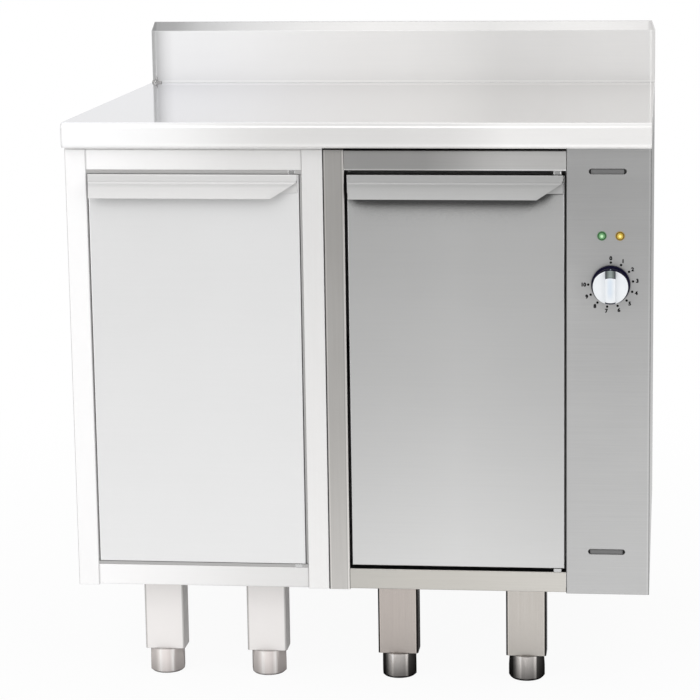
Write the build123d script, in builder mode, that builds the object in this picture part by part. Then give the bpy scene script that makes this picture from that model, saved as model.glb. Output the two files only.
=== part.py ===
from build123d import *
import math
import os

# ---------------------------------------------------------------- driving dimensions, millimetres
# Frame: X to the right, the front faces -Y, Z up, origin under the centre of the whole cabinet.
WIDTH = 900.0
WORKTOP_Z = 900.0
WORKTOP_DEPTH = 700.0
NOSING_OVERHANG = 20.0
NOSING_BOTTOM_Z = 861.0
UPSTAND_TOP_Z = 1008.0
UPSTAND_THICKNESS = 20.0
KNOB_PROJECTION = 26.0

SHEET = 1.5
SHEET_BEND = 1.8  # outside radius of the folds in the front frame
JOINT = 0.2  # gap left between neighbouring pieces of sheet

# Across the front, left to right.
LEFT = -WIDTH / 2
RIGHT = WIDTH / 2
CUPBOARD_RIGHT = -50.1
HOT_LEFT = -49.5
POST_WIDTH = 32.5
POST_DEPTH = 40.0
LEFT_DOOR_X = (-414.8, -87.0)
RIGHT_DOOR_X = (-13.0, 319.0)
PANEL_LEFT = 321.4

# Up the front.
CARCASS_BOTTOM_Z = 164.0
FRAME_TOP_Z = 857.0
TOP_RAIL_Z = (825.6, FRAME_TOP_Z)
BOTTOM_RAIL_Z = (165.6, 198.0)
RAIL_DEPTH = 25.0
DOOR_Z = (203.6, 819.2)
FLOOR_Z = 198.0

# Front to back.
TOTAL_DEPTH = WORKTOP_DEPTH - NOSING_OVERHANG + KNOB_PROJECTION
BACK = TOTAL_DEPTH / 2
FRONT = -TOTAL_DEPTH / 2 + KNOB_PROJECTION  # plane of the posts, rails, doors and control panel
WORKTOP_FRONT = FRONT - NOSING_OVERHANG
UPSTAND_FRONT = BACK - UPSTAND_THICKNESS
CARCASS_BACK = UPSTAND_FRONT

# Doors.
DOOR_THICKNESS = 30.0
DOOR_BEND = 2.0
PIVOT_INSET = 11.0  # from the door's right edge
PIVOT_BEHIND = 4.4  # behind the door's front face
PIN_RADIUS = 2.5
PIN_HOLE_MARGIN = 0.3  # the rails' holes are wider than the bushes', which carry the pins
RUNNING_CLEARANCE = 0.05
GASKET_INSET = 8.0
GASKET_WIDTH = 8.0
GASKET_DEPTH = 8.0
SEAL_Y = FRONT + DOOR_THICKNESS + GASKET_DEPTH + 0.3
GRIP_PROJECTION = 20.0
GRIP_FLANGE_BOTTOM_Z = 791.0
GRIP_FOLD_Z = 806.7
GRIP_LIP_Z = 784.1
GRIP_CUT = 39.6  # width of the slanting cut at the lip's right end
GRIP_LEFT_CUT = 4.0  # and at its left end
GRIP_INSET = (0.5, 2.5)  # from the door's left and right edges

# Heated chamber, clear inside.
CHAMBER_X = (5.0, 301.0)
CHAMBER_Z = (221.6, 801.2)
CHAMBER_BACK = 270.0
SHELF_LEVELS = (430.0, 620.0)

# Controls.
KNOB_X = 389.0
KNOB_Z = 652.0
KNOB_RADIUS = 29.75
LAMP_Z = 727.0
LAMP_X = {"green": 375.4, "yellow": 402.9}
LAMP_RADIUS = 7.0
SLOT_X = 384.0
SLOT_Z = (232.0, 825.2)
SLOT_LENGTH = 57.0
SLOT_HEIGHT = 8.4

# Legs and feet.
LEG_X = (-328.2, -161.8, 50.2, 255.1)
LEG_WIDTH = 64.0
LEG_DEPTH = 40.0
LEG_CORNER = 4.0
LEG_WALL = 2.0
LEG_FRONT_SETBACK = 64.0
LEG_BOTTOM_Z = 40.0
FOOT_RADIUS = 28.8  # to the corners of the octagon
STEM_RADIUS = 8.0
STEM_LENGTH = 75.0
FOOT_TURN = {"front": (6.5, 15.0, 8.7, 22.5), "rear": (0.0, 11.0, 30.0, 18.0)}  # degrees

LEG_Y = {
    "front": FRONT + LEG_FRONT_SETBACK + LEG_DEPTH / 2,
    "rear": CARCASS_BACK - LEG_FRONT_SETBACK - LEG_DEPTH / 2,
}

os.makedirs("parts", exist_ok=True)


# ---------------------------------------------------------------- shared helpers
def save(builder, node):
    """Label a finished sub-part and write its STEP file."""
    builder.part.label = node
    export_step(builder.part, f"parts/{node}.step")


def block(x, y, z, mode=Mode.ADD):
    """Add or cut the box that spans the ranges x, y and z."""
    with Locations(((x[0] + x[1]) / 2, (y[0] + y[1]) / 2, (z[0] + z[1]) / 2)):
        Box(x[1] - x[0], y[1] - y[0], z[1] - z[0], mode=mode)


def rod(x, y, z, radius, length, axis, mode=Mode.ADD):
    """Add or cut a cylinder centred on (x, y, z) along "x", "y" or "z"."""
    turn = {"x": (0, 90, 0), "y": (90, 0, 0), "z": (0, 0, 0)}[axis]
    with Locations((x, y, z)):
        Cylinder(radius, length, rotation=turn, mode=mode)


def pivot_of(door_x):
    """Plan position of a door's hinge axis."""
    return door_x[1] - PIVOT_INSET, FRONT + PIVOT_BEHIND


def corner_legs():
    """Name and plan position of each leg, front row first."""
    for row in ("front", "rear"):
        for number, x in enumerate(LEG_X, start=1):
            yield row, number, x, LEG_Y[row]


# ---------------------------------------------------------------- worktop
UPSTAND_FOLD_Z = 992.0
UPSTAND_FOLD_DEPTH = 6.0
UPSTAND_CORNER = 12.0
NOSING_TOP_RADIUS = 9.0
NOSING_BOTTOM_RADIUS = 8.0
TURN_IN = 20.0  # width of the flange turned in under the worktop

with BuildPart() as worktop:
    block((LEFT, RIGHT), (WORKTOP_FRONT, BACK), (NOSING_BOTTOM_Z, WORKTOP_Z))
    front_edges = worktop.edges().filter_by(Axis.X).group_by(Axis.Y)[0]
    fillet(front_edges.sort_by(Axis.Z)[-1], NOSING_TOP_RADIUS)
    front_edges = worktop.edges().filter_by(Axis.X).group_by(Axis.Y)[0]
    fillet(front_edges.sort_by(Axis.Z)[0], NOSING_BOTTOM_RADIUS)
    # The upstand's front corners are rounded, and its top band leans back.
    with BuildSketch(Plane.XY.offset(WORKTOP_Z)) as upstand_plan:
        with Locations((0, (UPSTAND_FRONT + BACK) / 2 + UPSTAND_CORNER)):
            RectangleRounded(WIDTH, UPSTAND_THICKNESS + 2 * UPSTAND_CORNER, UPSTAND_CORNER)
    extrude(upstand_plan.sketch, amount=UPSTAND_FOLD_Z - WORKTOP_Z)
    extrude(
        upstand_plan.sketch.moved(Location((0, 0, UPSTAND_FOLD_Z - WORKTOP_Z))),
        amount=UPSTAND_TOP_Z - UPSTAND_FOLD_Z,
        taper=math.degrees(math.atan(UPSTAND_FOLD_DEPTH / (UPSTAND_TOP_Z - UPSTAND_FOLD_Z))),
    )
    block((LEFT - 1, RIGHT + 1), (BACK, BACK + 60), (NOSING_BOTTOM_Z, UPSTAND_TOP_Z + 1), Mode.SUBTRACT)
    # Hollow under the top, open below inside the turned-in flange.
    block(
        (LEFT + SHEET, RIGHT - SHEET),
        (WORKTOP_FRONT + NOSING_TOP_RADIUS, BACK - SHEET),
        (NOSING_BOTTOM_Z + SHEET, WORKTOP_Z - SHEET),
        Mode.SUBTRACT,
    )
    block(
        (LEFT + TURN_IN, RIGHT - TURN_IN),
        (WORKTOP_FRONT + TURN_IN, BACK - TURN_IN),
        (NOSING_BOTTOM_Z, NOSING_BOTTOM_Z + SHEET),
        Mode.SUBTRACT,
    )
    block(
        (LEFT + UPSTAND_CORNER, RIGHT - UPSTAND_CORNER),
        (UPSTAND_FRONT + SHEET, BACK - SHEET),
        (WORKTOP_Z - SHEET, UPSTAND_FOLD_Z - SHEET),
        Mode.SUBTRACT,
    )
save(worktop, "worktop")

BOARD_THICKNESS = 22.0
with BuildPart() as worktop_core:
    block(
        (LEFT + SHEET + JOINT, RIGHT - SHEET - JOINT),
        (WORKTOP_FRONT + NOSING_TOP_RADIUS + JOINT, UPSTAND_FRONT - JOINT),
        (WORKTOP_Z - SHEET - BOARD_THICKNESS, WORKTOP_Z - SHEET),
    )
save(worktop_core, "worktop_core")


# ---------------------------------------------------------------- front frame: posts and rails
def post(x):
    """Channel-section post, folded from sheet and open to the rear."""
    with BuildSketch(Plane.XY.offset(CARCASS_BOTTOM_Z)) as section:
        with Locations((sum(x) / 2, FRONT + POST_DEPTH / 2)):
            Rectangle(x[1] - x[0], POST_DEPTH)
        fillet(section.vertices().group_by(Axis.Y)[0], SHEET_BEND)
        with Locations((sum(x) / 2, FRONT + SHEET + POST_DEPTH / 2)):
            Rectangle(x[1] - x[0] - 2 * SHEET, POST_DEPTH, mode=Mode.SUBTRACT)
    extrude(section.sketch, amount=FRAME_TOP_Z - CARCASS_BOTTOM_Z)


def rail(x, z):
    """Channel-section cross rail, folded from sheet and open to the rear."""
    height = z[1] - z[0]
    with BuildSketch(Plane((x[0], FRONT, sum(z) / 2), x_dir=(0, 1, 0), z_dir=(1, 0, 0))) as section:
        with Locations((RAIL_DEPTH / 2, 0)):
            Rectangle(RAIL_DEPTH, height)
        fillet(section.vertices().group_by(Axis.X)[0], SHEET_BEND)
        with Locations((SHEET + RAIL_DEPTH / 2, 0)):
            Rectangle(RAIL_DEPTH, height - 2 * SHEET, mode=Mode.SUBTRACT)
    extrude(section.sketch, amount=x[1] - x[0])


def pin_clearance(door_x):
    """Holes in both rails for one door's hinge pins."""
    pivot_x, pivot_y = pivot_of(door_x)
    for z in (TOP_RAIL_Z[0], BOTTOM_RAIL_Z[1]):
        rod(pivot_x, pivot_y, z, PIN_RADIUS + PIN_HOLE_MARGIN, 4 * SHEET, "z", Mode.SUBTRACT)


cupboard_post_x = ((LEFT, LEFT + POST_WIDTH), (CUPBOARD_RIGHT - POST_WIDTH, CUPBOARD_RIGHT))
with BuildPart() as cupboard_posts:
    for span in cupboard_post_x:
        post(span)
save(cupboard_posts, "cupboard_posts")

cupboard_rail_x = (cupboard_post_x[0][1] + JOINT, cupboard_post_x[1][0] - JOINT)
with BuildPart() as cupboard_rails:
    for height in (TOP_RAIL_Z, BOTTOM_RAIL_Z):
        rail(cupboard_rail_x, height)
    pin_clearance(LEFT_DOOR_X)
save(cupboard_rails, "cupboard_rails")

hot_post_x = (HOT_LEFT, HOT_LEFT + POST_WIDTH)
with BuildPart() as hot_post:
    post(hot_post_x)
save(hot_post, "hot_post")

hot_rail_x = (hot_post_x[1] + JOINT, PANEL_LEFT - JOINT)
with BuildPart() as hot_rails:
    for height in (TOP_RAIL_Z, BOTTOM_RAIL_Z):
        rail(hot_rail_x, height)
    pin_clearance(RIGHT_DOOR_X)
save(hot_rails, "hot_rails")

# ---------------------------------------------------------------- outer sheets
SIDE_Y = (FRONT + POST_DEPTH + JOINT, CARCASS_BACK)
PANEL_RETURN = 15.0
PARTITION_LAP = 0.9  # how far the partition stands left of the panel's edge
PARTITION_X = (PANEL_LEFT - PARTITION_LAP, PANEL_LEFT - PARTITION_LAP + SHEET)
SIDE_Z = (CARCASS_BOTTOM_Z, NOSING_BOTTOM_Z)

with BuildPart() as cupboard_side_panels:
    block((LEFT, LEFT + SHEET), SIDE_Y, SIDE_Z)
    block((CUPBOARD_RIGHT - SHEET, CUPBOARD_RIGHT), SIDE_Y, SIDE_Z)
save(cupboard_side_panels, "cupboard_side_panels")

with BuildPart() as hot_side_panels:
    block((HOT_LEFT, HOT_LEFT + SHEET), SIDE_Y, SIDE_Z)
    block((RIGHT - SHEET, RIGHT), (FRONT + PANEL_RETURN + JOINT, CARCASS_BACK), SIDE_Z)
save(hot_side_panels, "hot_side_panels")

cupboard_inside = (LEFT + SHEET + JOINT, CUPBOARD_RIGHT - SHEET - JOINT)
hot_inside = (HOT_LEFT + SHEET + JOINT, RIGHT - SHEET - JOINT)
back_y = (CARCASS_BACK - SHEET, CARCASS_BACK)
FLOOR_Y = (FRONT + POST_DEPTH + JOINT, back_y[0] - JOINT)

with BuildPart() as cupboard_back:
    block(cupboard_inside, back_y, SIDE_Z)
save(cupboard_back, "cupboard_back")

GLAND_X = 385.0
GLAND_Z = 250.0
GLAND_THREAD_RADIUS = 10.0
with BuildPart() as hot_back:
    block(hot_inside, back_y, SIDE_Z)
    rod(GLAND_X, CARCASS_BACK, GLAND_Z, GLAND_THREAD_RADIUS + JOINT, 4 * SHEET, "y", Mode.SUBTRACT)
save(hot_back, "hot_back")


def floor(inside, mouth):
    """Floor sheet, with a tongue that runs forward between the posts to the bottom rail."""
    z = (FLOOR_Z - SHEET, FLOOR_Z)
    block(inside, FLOOR_Y, z)
    block(mouth, (FRONT + RAIL_DEPTH + JOINT, FLOOR_Y[0]), z)


with BuildPart() as cupboard_floor:
    floor(cupboard_inside, cupboard_rail_x)
save(cupboard_floor, "cupboard_floor")

with BuildPart() as hot_floor:
    floor(hot_inside, hot_rail_x)
save(hot_floor, "hot_floor")

CAPILLARY_RADIUS = 1.2
CAPILLARY_HOLE = 3 * CAPILLARY_RADIUS
CAPILLARY_Y = 10.0
BULB_Z = 770.0
with BuildPart() as control_partition:
    block(PARTITION_X, FLOOR_Y, (FLOOR_Z + JOINT, NOSING_BOTTOM_Z - JOINT))
    rod(PARTITION_X[0], CAPILLARY_Y, BULB_Z, CAPILLARY_HOLE, 6 * SHEET, "x", Mode.SUBTRACT)
save(control_partition, "control_partition")

# ---------------------------------------------------------------- cupboard shelf
SHELF_Z = 505.0
SHELF_LIP = 20.0
SHELF_Y = (FRONT + 60.0, CARCASS_BACK - 20.0)
SHELF_SIDE_GAP = 1.0
SHELF_RAIL = 16.0
SHELF_RAIL_SHORTER = 10.0  # at each end
shelf_x = (cupboard_inside[0] + SHELF_SIDE_GAP, cupboard_inside[1] - SHELF_SIDE_GAP)
with BuildPart() as cupboard_shelf:
    block(shelf_x, SHELF_Y, (SHELF_Z - SHELF_LIP, SHELF_Z))
    block(
        shelf_x,
        (SHELF_Y[0] + SHEET, SHELF_Y[1] - SHEET),
        (SHELF_Z - SHELF_LIP, SHELF_Z - SHEET),
        Mode.SUBTRACT,
    )
save(cupboard_shelf, "cupboard_shelf")

with BuildPart() as shelf_rails:
    rail_y = (SHELF_Y[0] + SHELF_RAIL_SHORTER, SHELF_Y[1] - SHELF_RAIL_SHORTER)
    rail_z = (SHELF_Z - SHEET - SHELF_RAIL, SHELF_Z - SHEET)
    for wall, inward in ((LEFT + SHEET, 1), (CUPBOARD_RIGHT - SHEET, -1)):
        web = sorted((wall, wall + inward * SHEET))
        ledge = sorted((wall, wall + inward * SHELF_RAIL))
        block(web, rail_y, rail_z)
        block(ledge, rail_y, (rail_z[1] - SHEET, rail_z[1]))
save(shelf_rails, "shelf_rails")

# ---------------------------------------------------------------- heated chamber
liner_out_x = (CHAMBER_X[0] - SHEET, CHAMBER_X[1] + SHEET)
liner_out_z = (CHAMBER_Z[0] - SHEET, CHAMBER_Z[1] + SHEET)
liner_y = (SEAL_Y + SHEET + JOINT, CHAMBER_BACK)
ELEMENT_Z = 234.0
ELEMENT_RADIUS = 4.0
ELEMENT_END_X = (60.0, 246.0)
ELEMENT_PASS = 6.0  # radius of the holes that the element's cold ends pass through

with BuildPart() as chamber_liner:
    for x in ((liner_out_x[0], CHAMBER_X[0]), (CHAMBER_X[1], liner_out_x[1])):
        block(x, liner_y, (CHAMBER_Z[0] + JOINT, CHAMBER_Z[1] - JOINT))
    for z in ((liner_out_z[0], CHAMBER_Z[0]), (CHAMBER_Z[1], liner_out_z[1])):
        block(liner_out_x, liner_y, z)
    block(liner_out_x, (CHAMBER_BACK + JOINT, CHAMBER_BACK + JOINT + SHEET), liner_out_z)
    # Flange round the mouth, which the door's gasket seals against.
    mouth_y = (SEAL_Y, SEAL_Y + SHEET)
    flange_x = (hot_post_x[1] + JOINT, PARTITION_X[0] - JOINT)
    for x in ((flange_x[0], CHAMBER_X[0]), (CHAMBER_X[1], flange_x[1])):
        block(x, mouth_y, (FLOOR_Z + JOINT, TOP_RAIL_Z[0] - JOINT))
    mouth_x = (CHAMBER_X[0] + JOINT, CHAMBER_X[1] - JOINT)
    block(mouth_x, mouth_y, (FLOOR_Z + JOINT, CHAMBER_Z[0]))
    block(mouth_x, mouth_y, (CHAMBER_Z[1], TOP_RAIL_Z[0] - JOINT))
    rod(CHAMBER_X[1], CAPILLARY_Y, BULB_Z, CAPILLARY_HOLE, 6 * SHEET, "x", Mode.SUBTRACT)
    for x in ELEMENT_END_X:
        rod(x, CHAMBER_BACK, ELEMENT_Z, ELEMENT_PASS, 6 * SHEET, "y", Mode.SUBTRACT)
save(chamber_liner, "chamber_liner")

SLAB_GAP = 0.3
TOP_SLAB = 45.0
BACK_SLAB = 40.0
slab_back_y = (liner_y[1] + JOINT + SHEET + SLAB_GAP, liner_y[1] + JOINT + SHEET + BACK_SLAB)
slab_y = (liner_y[0] + SLAB_GAP, slab_back_y[0] - SLAB_GAP)
with BuildPart() as chamber_insulation:
    side_z = (liner_out_z[0] + SLAB_GAP, liner_out_z[1] - SLAB_GAP)
    block((HOT_LEFT + SHEET + SLAB_GAP, liner_out_x[0] - SLAB_GAP), slab_y, side_z)
    block((liner_out_x[1] + SLAB_GAP, PARTITION_X[0] - SLAB_GAP), slab_y, side_z)
    wide_x = (HOT_LEFT + SHEET + SLAB_GAP, PARTITION_X[0] - SLAB_GAP)
    block(wide_x, slab_y, (liner_out_z[1] + SLAB_GAP, liner_out_z[1] + TOP_SLAB))
    block(wide_x, slab_y, (FLOOR_Z + SLAB_GAP, liner_out_z[0] - SLAB_GAP))
    block(wide_x, slab_back_y, (FLOOR_Z + SLAB_GAP, liner_out_z[1] + TOP_SLAB))
    rod(
        (liner_out_x[1] + PARTITION_X[0]) / 2, CAPILLARY_Y, BULB_Z,
        CAPILLARY_HOLE, 2 * (PARTITION_X[0] - liner_out_x[1]), "x", Mode.SUBTRACT,
    )
    for x in ELEMENT_END_X:
        rod(x, sum(slab_back_y) / 2, ELEMENT_Z, ELEMENT_PASS, 2 * BACK_SLAB, "y", Mode.SUBTRACT)
save(chamber_insulation, "chamber_insulation")

UPRIGHT_THICKNESS = 2.0
UPRIGHT_WIDTH = 20.0
UPRIGHT_Y = (-190.0, 190.0)
UPRIGHT_Z = (262.0, 792.0)
UPRIGHT_SLOTS = 12
UPRIGHT_SLOT = (4.0, 12.0)  # width and height
LUG = 7.0  # how far a shelf lug stands out of its upright
LUG_WIDTH = 16.0
LUG_THICKNESS = 2.0
with BuildPart() as shelf_uprights:
    for wall, inward in ((CHAMBER_X[0], 1), (CHAMBER_X[1], -1)):
        strip = sorted((wall, wall + inward * UPRIGHT_THICKNESS))
        lug = sorted((wall, wall + inward * (UPRIGHT_THICKNESS + LUG)))
        for centre in UPRIGHT_Y:
            block(strip, (centre - UPRIGHT_WIDTH / 2, centre + UPRIGHT_WIDTH / 2), UPRIGHT_Z)
            for level in SHELF_LEVELS:
                block(lug, (centre - LUG_WIDTH / 2, centre + LUG_WIDTH / 2), (level - LUG_THICKNESS, level))
    slot_pitch = (UPRIGHT_Z[1] - UPRIGHT_Z[0]) / (UPRIGHT_SLOTS + 1)
    for number in range(UPRIGHT_SLOTS):
        slot_z = UPRIGHT_Z[0] + slot_pitch * (number + 1)
        if all(abs(slot_z - level) > UPRIGHT_SLOT[1] for level in SHELF_LEVELS):
            with Locations(*[(sum(CHAMBER_X) / 2, y, slot_z) for y in UPRIGHT_Y]):
                Box(CHAMBER_X[1] - CHAMBER_X[0], *UPRIGHT_SLOT, mode=Mode.SUBTRACT)
save(shelf_uprights, "shelf_uprights")

SHELF_BAR = 6.0
SHELF_WIRE_RADIUS = 2.0
SHELF_WIRES = 15
CHAMBER_SIDE_GAP = 4.0  # between the chamber's walls and what rests in it
grid_x = (CHAMBER_X[0] + CHAMBER_SIDE_GAP, CHAMBER_X[1] - CHAMBER_SIDE_GAP)
grid_y = (-262.0, 250.0)
with BuildPart() as plate_shelves:
    for level in SHELF_LEVELS:
        grid_z = (level + JOINT, level + JOINT + SHELF_BAR)
        block(grid_x, grid_y, grid_z)
        block(
            (grid_x[0] + SHELF_BAR, grid_x[1] - SHELF_BAR),
            (grid_y[0] + SHELF_BAR, grid_y[1] - SHELF_BAR),
            grid_z,
            Mode.SUBTRACT,
        )
        pitch = (grid_x[1] - grid_x[0]) / (SHELF_WIRES + 1)
        for number in range(SHELF_WIRES):
            rod(
                grid_x[0] + pitch * (number + 1), sum(grid_y) / 2, sum(grid_z) / 2,
                SHELF_WIRE_RADIUS, grid_y[1] - grid_y[0] - SHELF_BAR, "y",
            )
save(plate_shelves, "plate_shelves")

COVER_Z = 256.0
COVER_Y = (-265.0, 255.0)
COVER_HOLE_RADIUS = 6.0
COVER_HOLE_PITCH = 40.0
COVER_HOLES = (6, 12)  # across and front to back
with BuildPart() as element_cover:
    cover_x = grid_x
    block(cover_x, COVER_Y, (CHAMBER_Z[0] + JOINT, COVER_Z))
    block(
        (cover_x[0] + SHEET, cover_x[1] - SHEET), COVER_Y,
        (CHAMBER_Z[0], COVER_Z - SHEET), Mode.SUBTRACT,
    )
    with Locations((sum(cover_x) / 2, sum(COVER_Y) / 2, COVER_Z - SHEET / 2)):
        with GridLocations(COVER_HOLE_PITCH, COVER_HOLE_PITCH, *COVER_HOLES):
            Cylinder(COVER_HOLE_RADIUS, 3 * SHEET, mode=Mode.SUBTRACT)
save(element_cover, "element_cover")

ELEMENT_FRONT_Y = -215.0
ELEMENT_TAIL_Y = 300.0
ELEMENT_LANES = (60.0, 122.0, 184.0, 246.0)
ELEMENT_REAR_Y = 215.0
ELEMENT_BEND = 28.0
with BuildPart() as heating_element:
    with BuildLine() as element_path:
        FilletPolyline(
            (ELEMENT_LANES[0], ELEMENT_TAIL_Y, ELEMENT_Z),
            (ELEMENT_LANES[0], ELEMENT_FRONT_Y, ELEMENT_Z),
            (ELEMENT_LANES[1], ELEMENT_FRONT_Y, ELEMENT_Z),
            (ELEMENT_LANES[1], ELEMENT_REAR_Y, ELEMENT_Z),
            (ELEMENT_LANES[2], ELEMENT_REAR_Y, ELEMENT_Z),
            (ELEMENT_LANES[2], ELEMENT_FRONT_Y, ELEMENT_Z),
            (ELEMENT_LANES[3], ELEMENT_FRONT_Y, ELEMENT_Z),
            (ELEMENT_LANES[3], ELEMENT_TAIL_Y, ELEMENT_Z),
            radius=ELEMENT_BEND,
        )
    with BuildSketch(Plane((ELEMENT_LANES[0], ELEMENT_TAIL_Y, ELEMENT_Z), z_dir=(0, -1, 0))):
        Circle(ELEMENT_RADIUS)
    sweep(path=element_path.wires()[0])
save(heating_element, "heating_element")

THERMOSTAT_REAR = FRONT + 56.0
BULB_X = 294.0
BULB_RADIUS = 3.5
BULB_Y = (CAPILLARY_Y + 50.0, CAPILLARY_Y + 170.0)
CAPILLARY_BEND = 4.0
CAPILLARY_DROP_X = 345.0
with BuildPart() as sensing_bulb:
    rod(BULB_X, sum(BULB_Y) / 2, BULB_Z, BULB_RADIUS, BULB_Y[1] - BULB_Y[0], "y")
    with BuildLine() as capillary_path:
        FilletPolyline(
            (BULB_X, BULB_Y[0], BULB_Z),
            (BULB_X, CAPILLARY_Y, BULB_Z),
            (CAPILLARY_DROP_X, CAPILLARY_Y, BULB_Z),
            (CAPILLARY_DROP_X, -150.0, BULB_Z),
            (KNOB_X, -200.0, KNOB_Z),
            (KNOB_X, THERMOSTAT_REAR, KNOB_Z),
            radius=CAPILLARY_BEND,
        )
    with BuildSketch(Plane((BULB_X, BULB_Y[0], BULB_Z), z_dir=(0, -1, 0))):
        Circle(CAPILLARY_RADIUS)
    sweep(path=capillary_path.wires()[0], transition=Transition.ROUND)
save(sensing_bulb, "sensing_bulb")

# ---------------------------------------------------------------- control bay
PANEL_BEND = 2.0
PANEL_SIDE_GAP = 0.4  # between the panel's left return and the side sheets' line
LENS_SEAT = 1.2  # how far a lens's flange laps over its hole
SPINDLE_HOLE_RADIUS = 6.0
panel_z = (CARCASS_BOTTOM_Z, NOSING_BOTTOM_Z)
with BuildPart() as control_panel:
    block((PANEL_LEFT, RIGHT), (FRONT, FRONT + POST_DEPTH - PANEL_SIDE_GAP), panel_z)
    fillet(control_panel.edges().filter_by(Axis.Z).group_by(Axis.Y)[0], PANEL_BEND)
    block(
        (PANEL_LEFT + SHEET, RIGHT - SHEET),
        (FRONT + SHEET, FRONT + POST_DEPTH),
        panel_z,
        Mode.SUBTRACT,
    )
    block((RIGHT - SHEET, RIGHT), (FRONT + PANEL_RETURN, FRONT + POST_DEPTH), panel_z, Mode.SUBTRACT)
    with BuildSketch(Plane.XZ.offset(-FRONT)):
        for z in SLOT_Z:
            with Locations((SLOT_X, z)):
                SlotOverall(SLOT_LENGTH, SLOT_HEIGHT)
        for x in LAMP_X.values():
            with Locations((x, LAMP_Z)):
                Circle(LAMP_RADIUS - LENS_SEAT)
        with Locations((KNOB_X, KNOB_Z)):
            Circle(SPINDLE_HOLE_RADIUS)
    extrude(amount=3 * SHEET, both=True, mode=Mode.SUBTRACT)
save(control_panel, "control_panel")

BAFFLE_BEHIND = 8.0
BAFFLE_HEIGHT = 32.0
with BuildPart() as slot_baffles:
    baffle_y = (FRONT + SHEET + BAFFLE_BEHIND, FRONT + 2 * SHEET + BAFFLE_BEHIND)
    for z in SLOT_Z:
        baffle_z = (z - BAFFLE_HEIGHT / 2, z + BAFFLE_HEIGHT / 2)
        block((PANEL_LEFT + SHEET, RIGHT - SHEET), baffle_y, baffle_z)
save(slot_baffles, "slot_baffles")

BRACKET_Y = FRONT + 16.0
BRACKET_Z = (590.0, 760.0)
BUSHING_RADIUS = 5.0
with BuildPart() as control_bracket:
    block((PANEL_LEFT + SHEET, RIGHT - SHEET), (BRACKET_Y, BRACKET_Y + SHEET), BRACKET_Z)
    for x in LAMP_X.values():
        rod(x, BRACKET_Y, LAMP_Z, LAMP_RADIUS, 6 * SHEET, "y", Mode.SUBTRACT)
    rod(KNOB_X, BRACKET_Y, KNOB_Z, BUSHING_RADIUS + JOINT, 6 * SHEET, "y", Mode.SUBTRACT)
save(control_bracket, "control_bracket")

SPINDLE_RADIUS = 3.0
SPINDLE_SOCKET = 18.0  # depth of the hole that the spindle turns in
THERMOSTAT_BODY = (44.0, 40.0)  # width and height
BUSHING_LENGTH = 8.0
with BuildPart() as thermostat:
    body_front = BRACKET_Y + SHEET
    block(
        (KNOB_X - THERMOSTAT_BODY[0] / 2, KNOB_X + THERMOSTAT_BODY[0] / 2),
        (body_front, THERMOSTAT_REAR),
        (KNOB_Z - THERMOSTAT_BODY[1] / 2, KNOB_Z + THERMOSTAT_BODY[1] / 2),
    )
    rod(KNOB_X, body_front - BUSHING_LENGTH / 2, KNOB_Z, BUSHING_RADIUS, BUSHING_LENGTH, "y")
    rod(
        KNOB_X, body_front, KNOB_Z,
        SPINDLE_RADIUS + RUNNING_CLEARANCE, 2 * SPINDLE_SOCKET, "y", Mode.SUBTRACT,
    )
save(thermostat, "thermostat")

CUTOUT_X = KNOB_X - 40.0
CUTOUT_Z = 615.0
CUTOUT_RADIUS = 9.0
CUTOUT_DEPTH = 18.0
CUTOUT_TERMINALS = (12.0, 10.5, 16.0)
with BuildPart() as safety_cutout:
    rod(CUTOUT_X, BRACKET_Y + SHEET + CUTOUT_DEPTH / 2, CUTOUT_Z, CUTOUT_RADIUS, CUTOUT_DEPTH, "y")
    terminals_y = BRACKET_Y + SHEET + CUTOUT_DEPTH + CUTOUT_TERMINALS[1] / 2
    with Locations((CUTOUT_X, terminals_y, CUTOUT_Z)):
        Box(*CUTOUT_TERMINALS)
save(safety_cutout, "safety_cutout")

LAMP_BODY_RADIUS = 5.5
LAMP_BODY_LENGTH = 30.0
LAMP_NUT = (8.0, 3.0)  # radius and thickness, behind the panel
with BuildPart() as lamp_bodies:
    for x in LAMP_X.values():
        rod(x, FRONT + LAMP_BODY_LENGTH / 2, LAMP_Z, LAMP_BODY_RADIUS, LAMP_BODY_LENGTH, "y")
        rod(x, FRONT + SHEET + LAMP_NUT[1] / 2 + RUNNING_CLEARANCE, LAMP_Z, *LAMP_NUT, "y")
save(lamp_bodies, "lamp_bodies")

LENS_FLANGE = 1.2
LENS_RISE = 4.8
LENS_SHOULDER = 1.4  # from the flange's rim in to the dome
for colour, lamp_x in LAMP_X.items():
    with BuildPart() as lamp_lens:
        dome_radius = LAMP_RADIUS - LENS_SHOULDER
        rod(lamp_x, FRONT - LENS_RISE / 2, LAMP_Z, dome_radius, LENS_RISE, "y")
        fillet(lamp_lens.edges().group_by(Axis.Y)[0], LENS_RISE - LENS_FLANGE - JOINT)
        rod(lamp_x, FRONT - LENS_FLANGE / 2, LAMP_Z, LAMP_RADIUS, LENS_FLANGE, "y")
    save(lamp_lens, f"lamp_lens_{colour}")

TERMINAL_BLOCK = (60.0, 26.0, 26.0)
TERMINAL_BLOCK_Z = 333.0
TERMINAL_MOUTH = (7.0, 10.0, 12.0)
TERMINAL_PITCH = 12.0
TERMINALS = 5
with BuildPart() as terminal_block:
    with Locations((GLAND_X, back_y[0] - TERMINAL_BLOCK[1] / 2, TERMINAL_BLOCK_Z)):
        Box(*TERMINAL_BLOCK)
    with Locations((GLAND_X, back_y[0] - TERMINAL_BLOCK[1], TERMINAL_BLOCK_Z)):
        with GridLocations(TERMINAL_PITCH, TERMINAL_PITCH, TERMINALS, 1):
            Box(*TERMINAL_MOUTH, mode=Mode.SUBTRACT)
save(terminal_block, "terminal_block")

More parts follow.
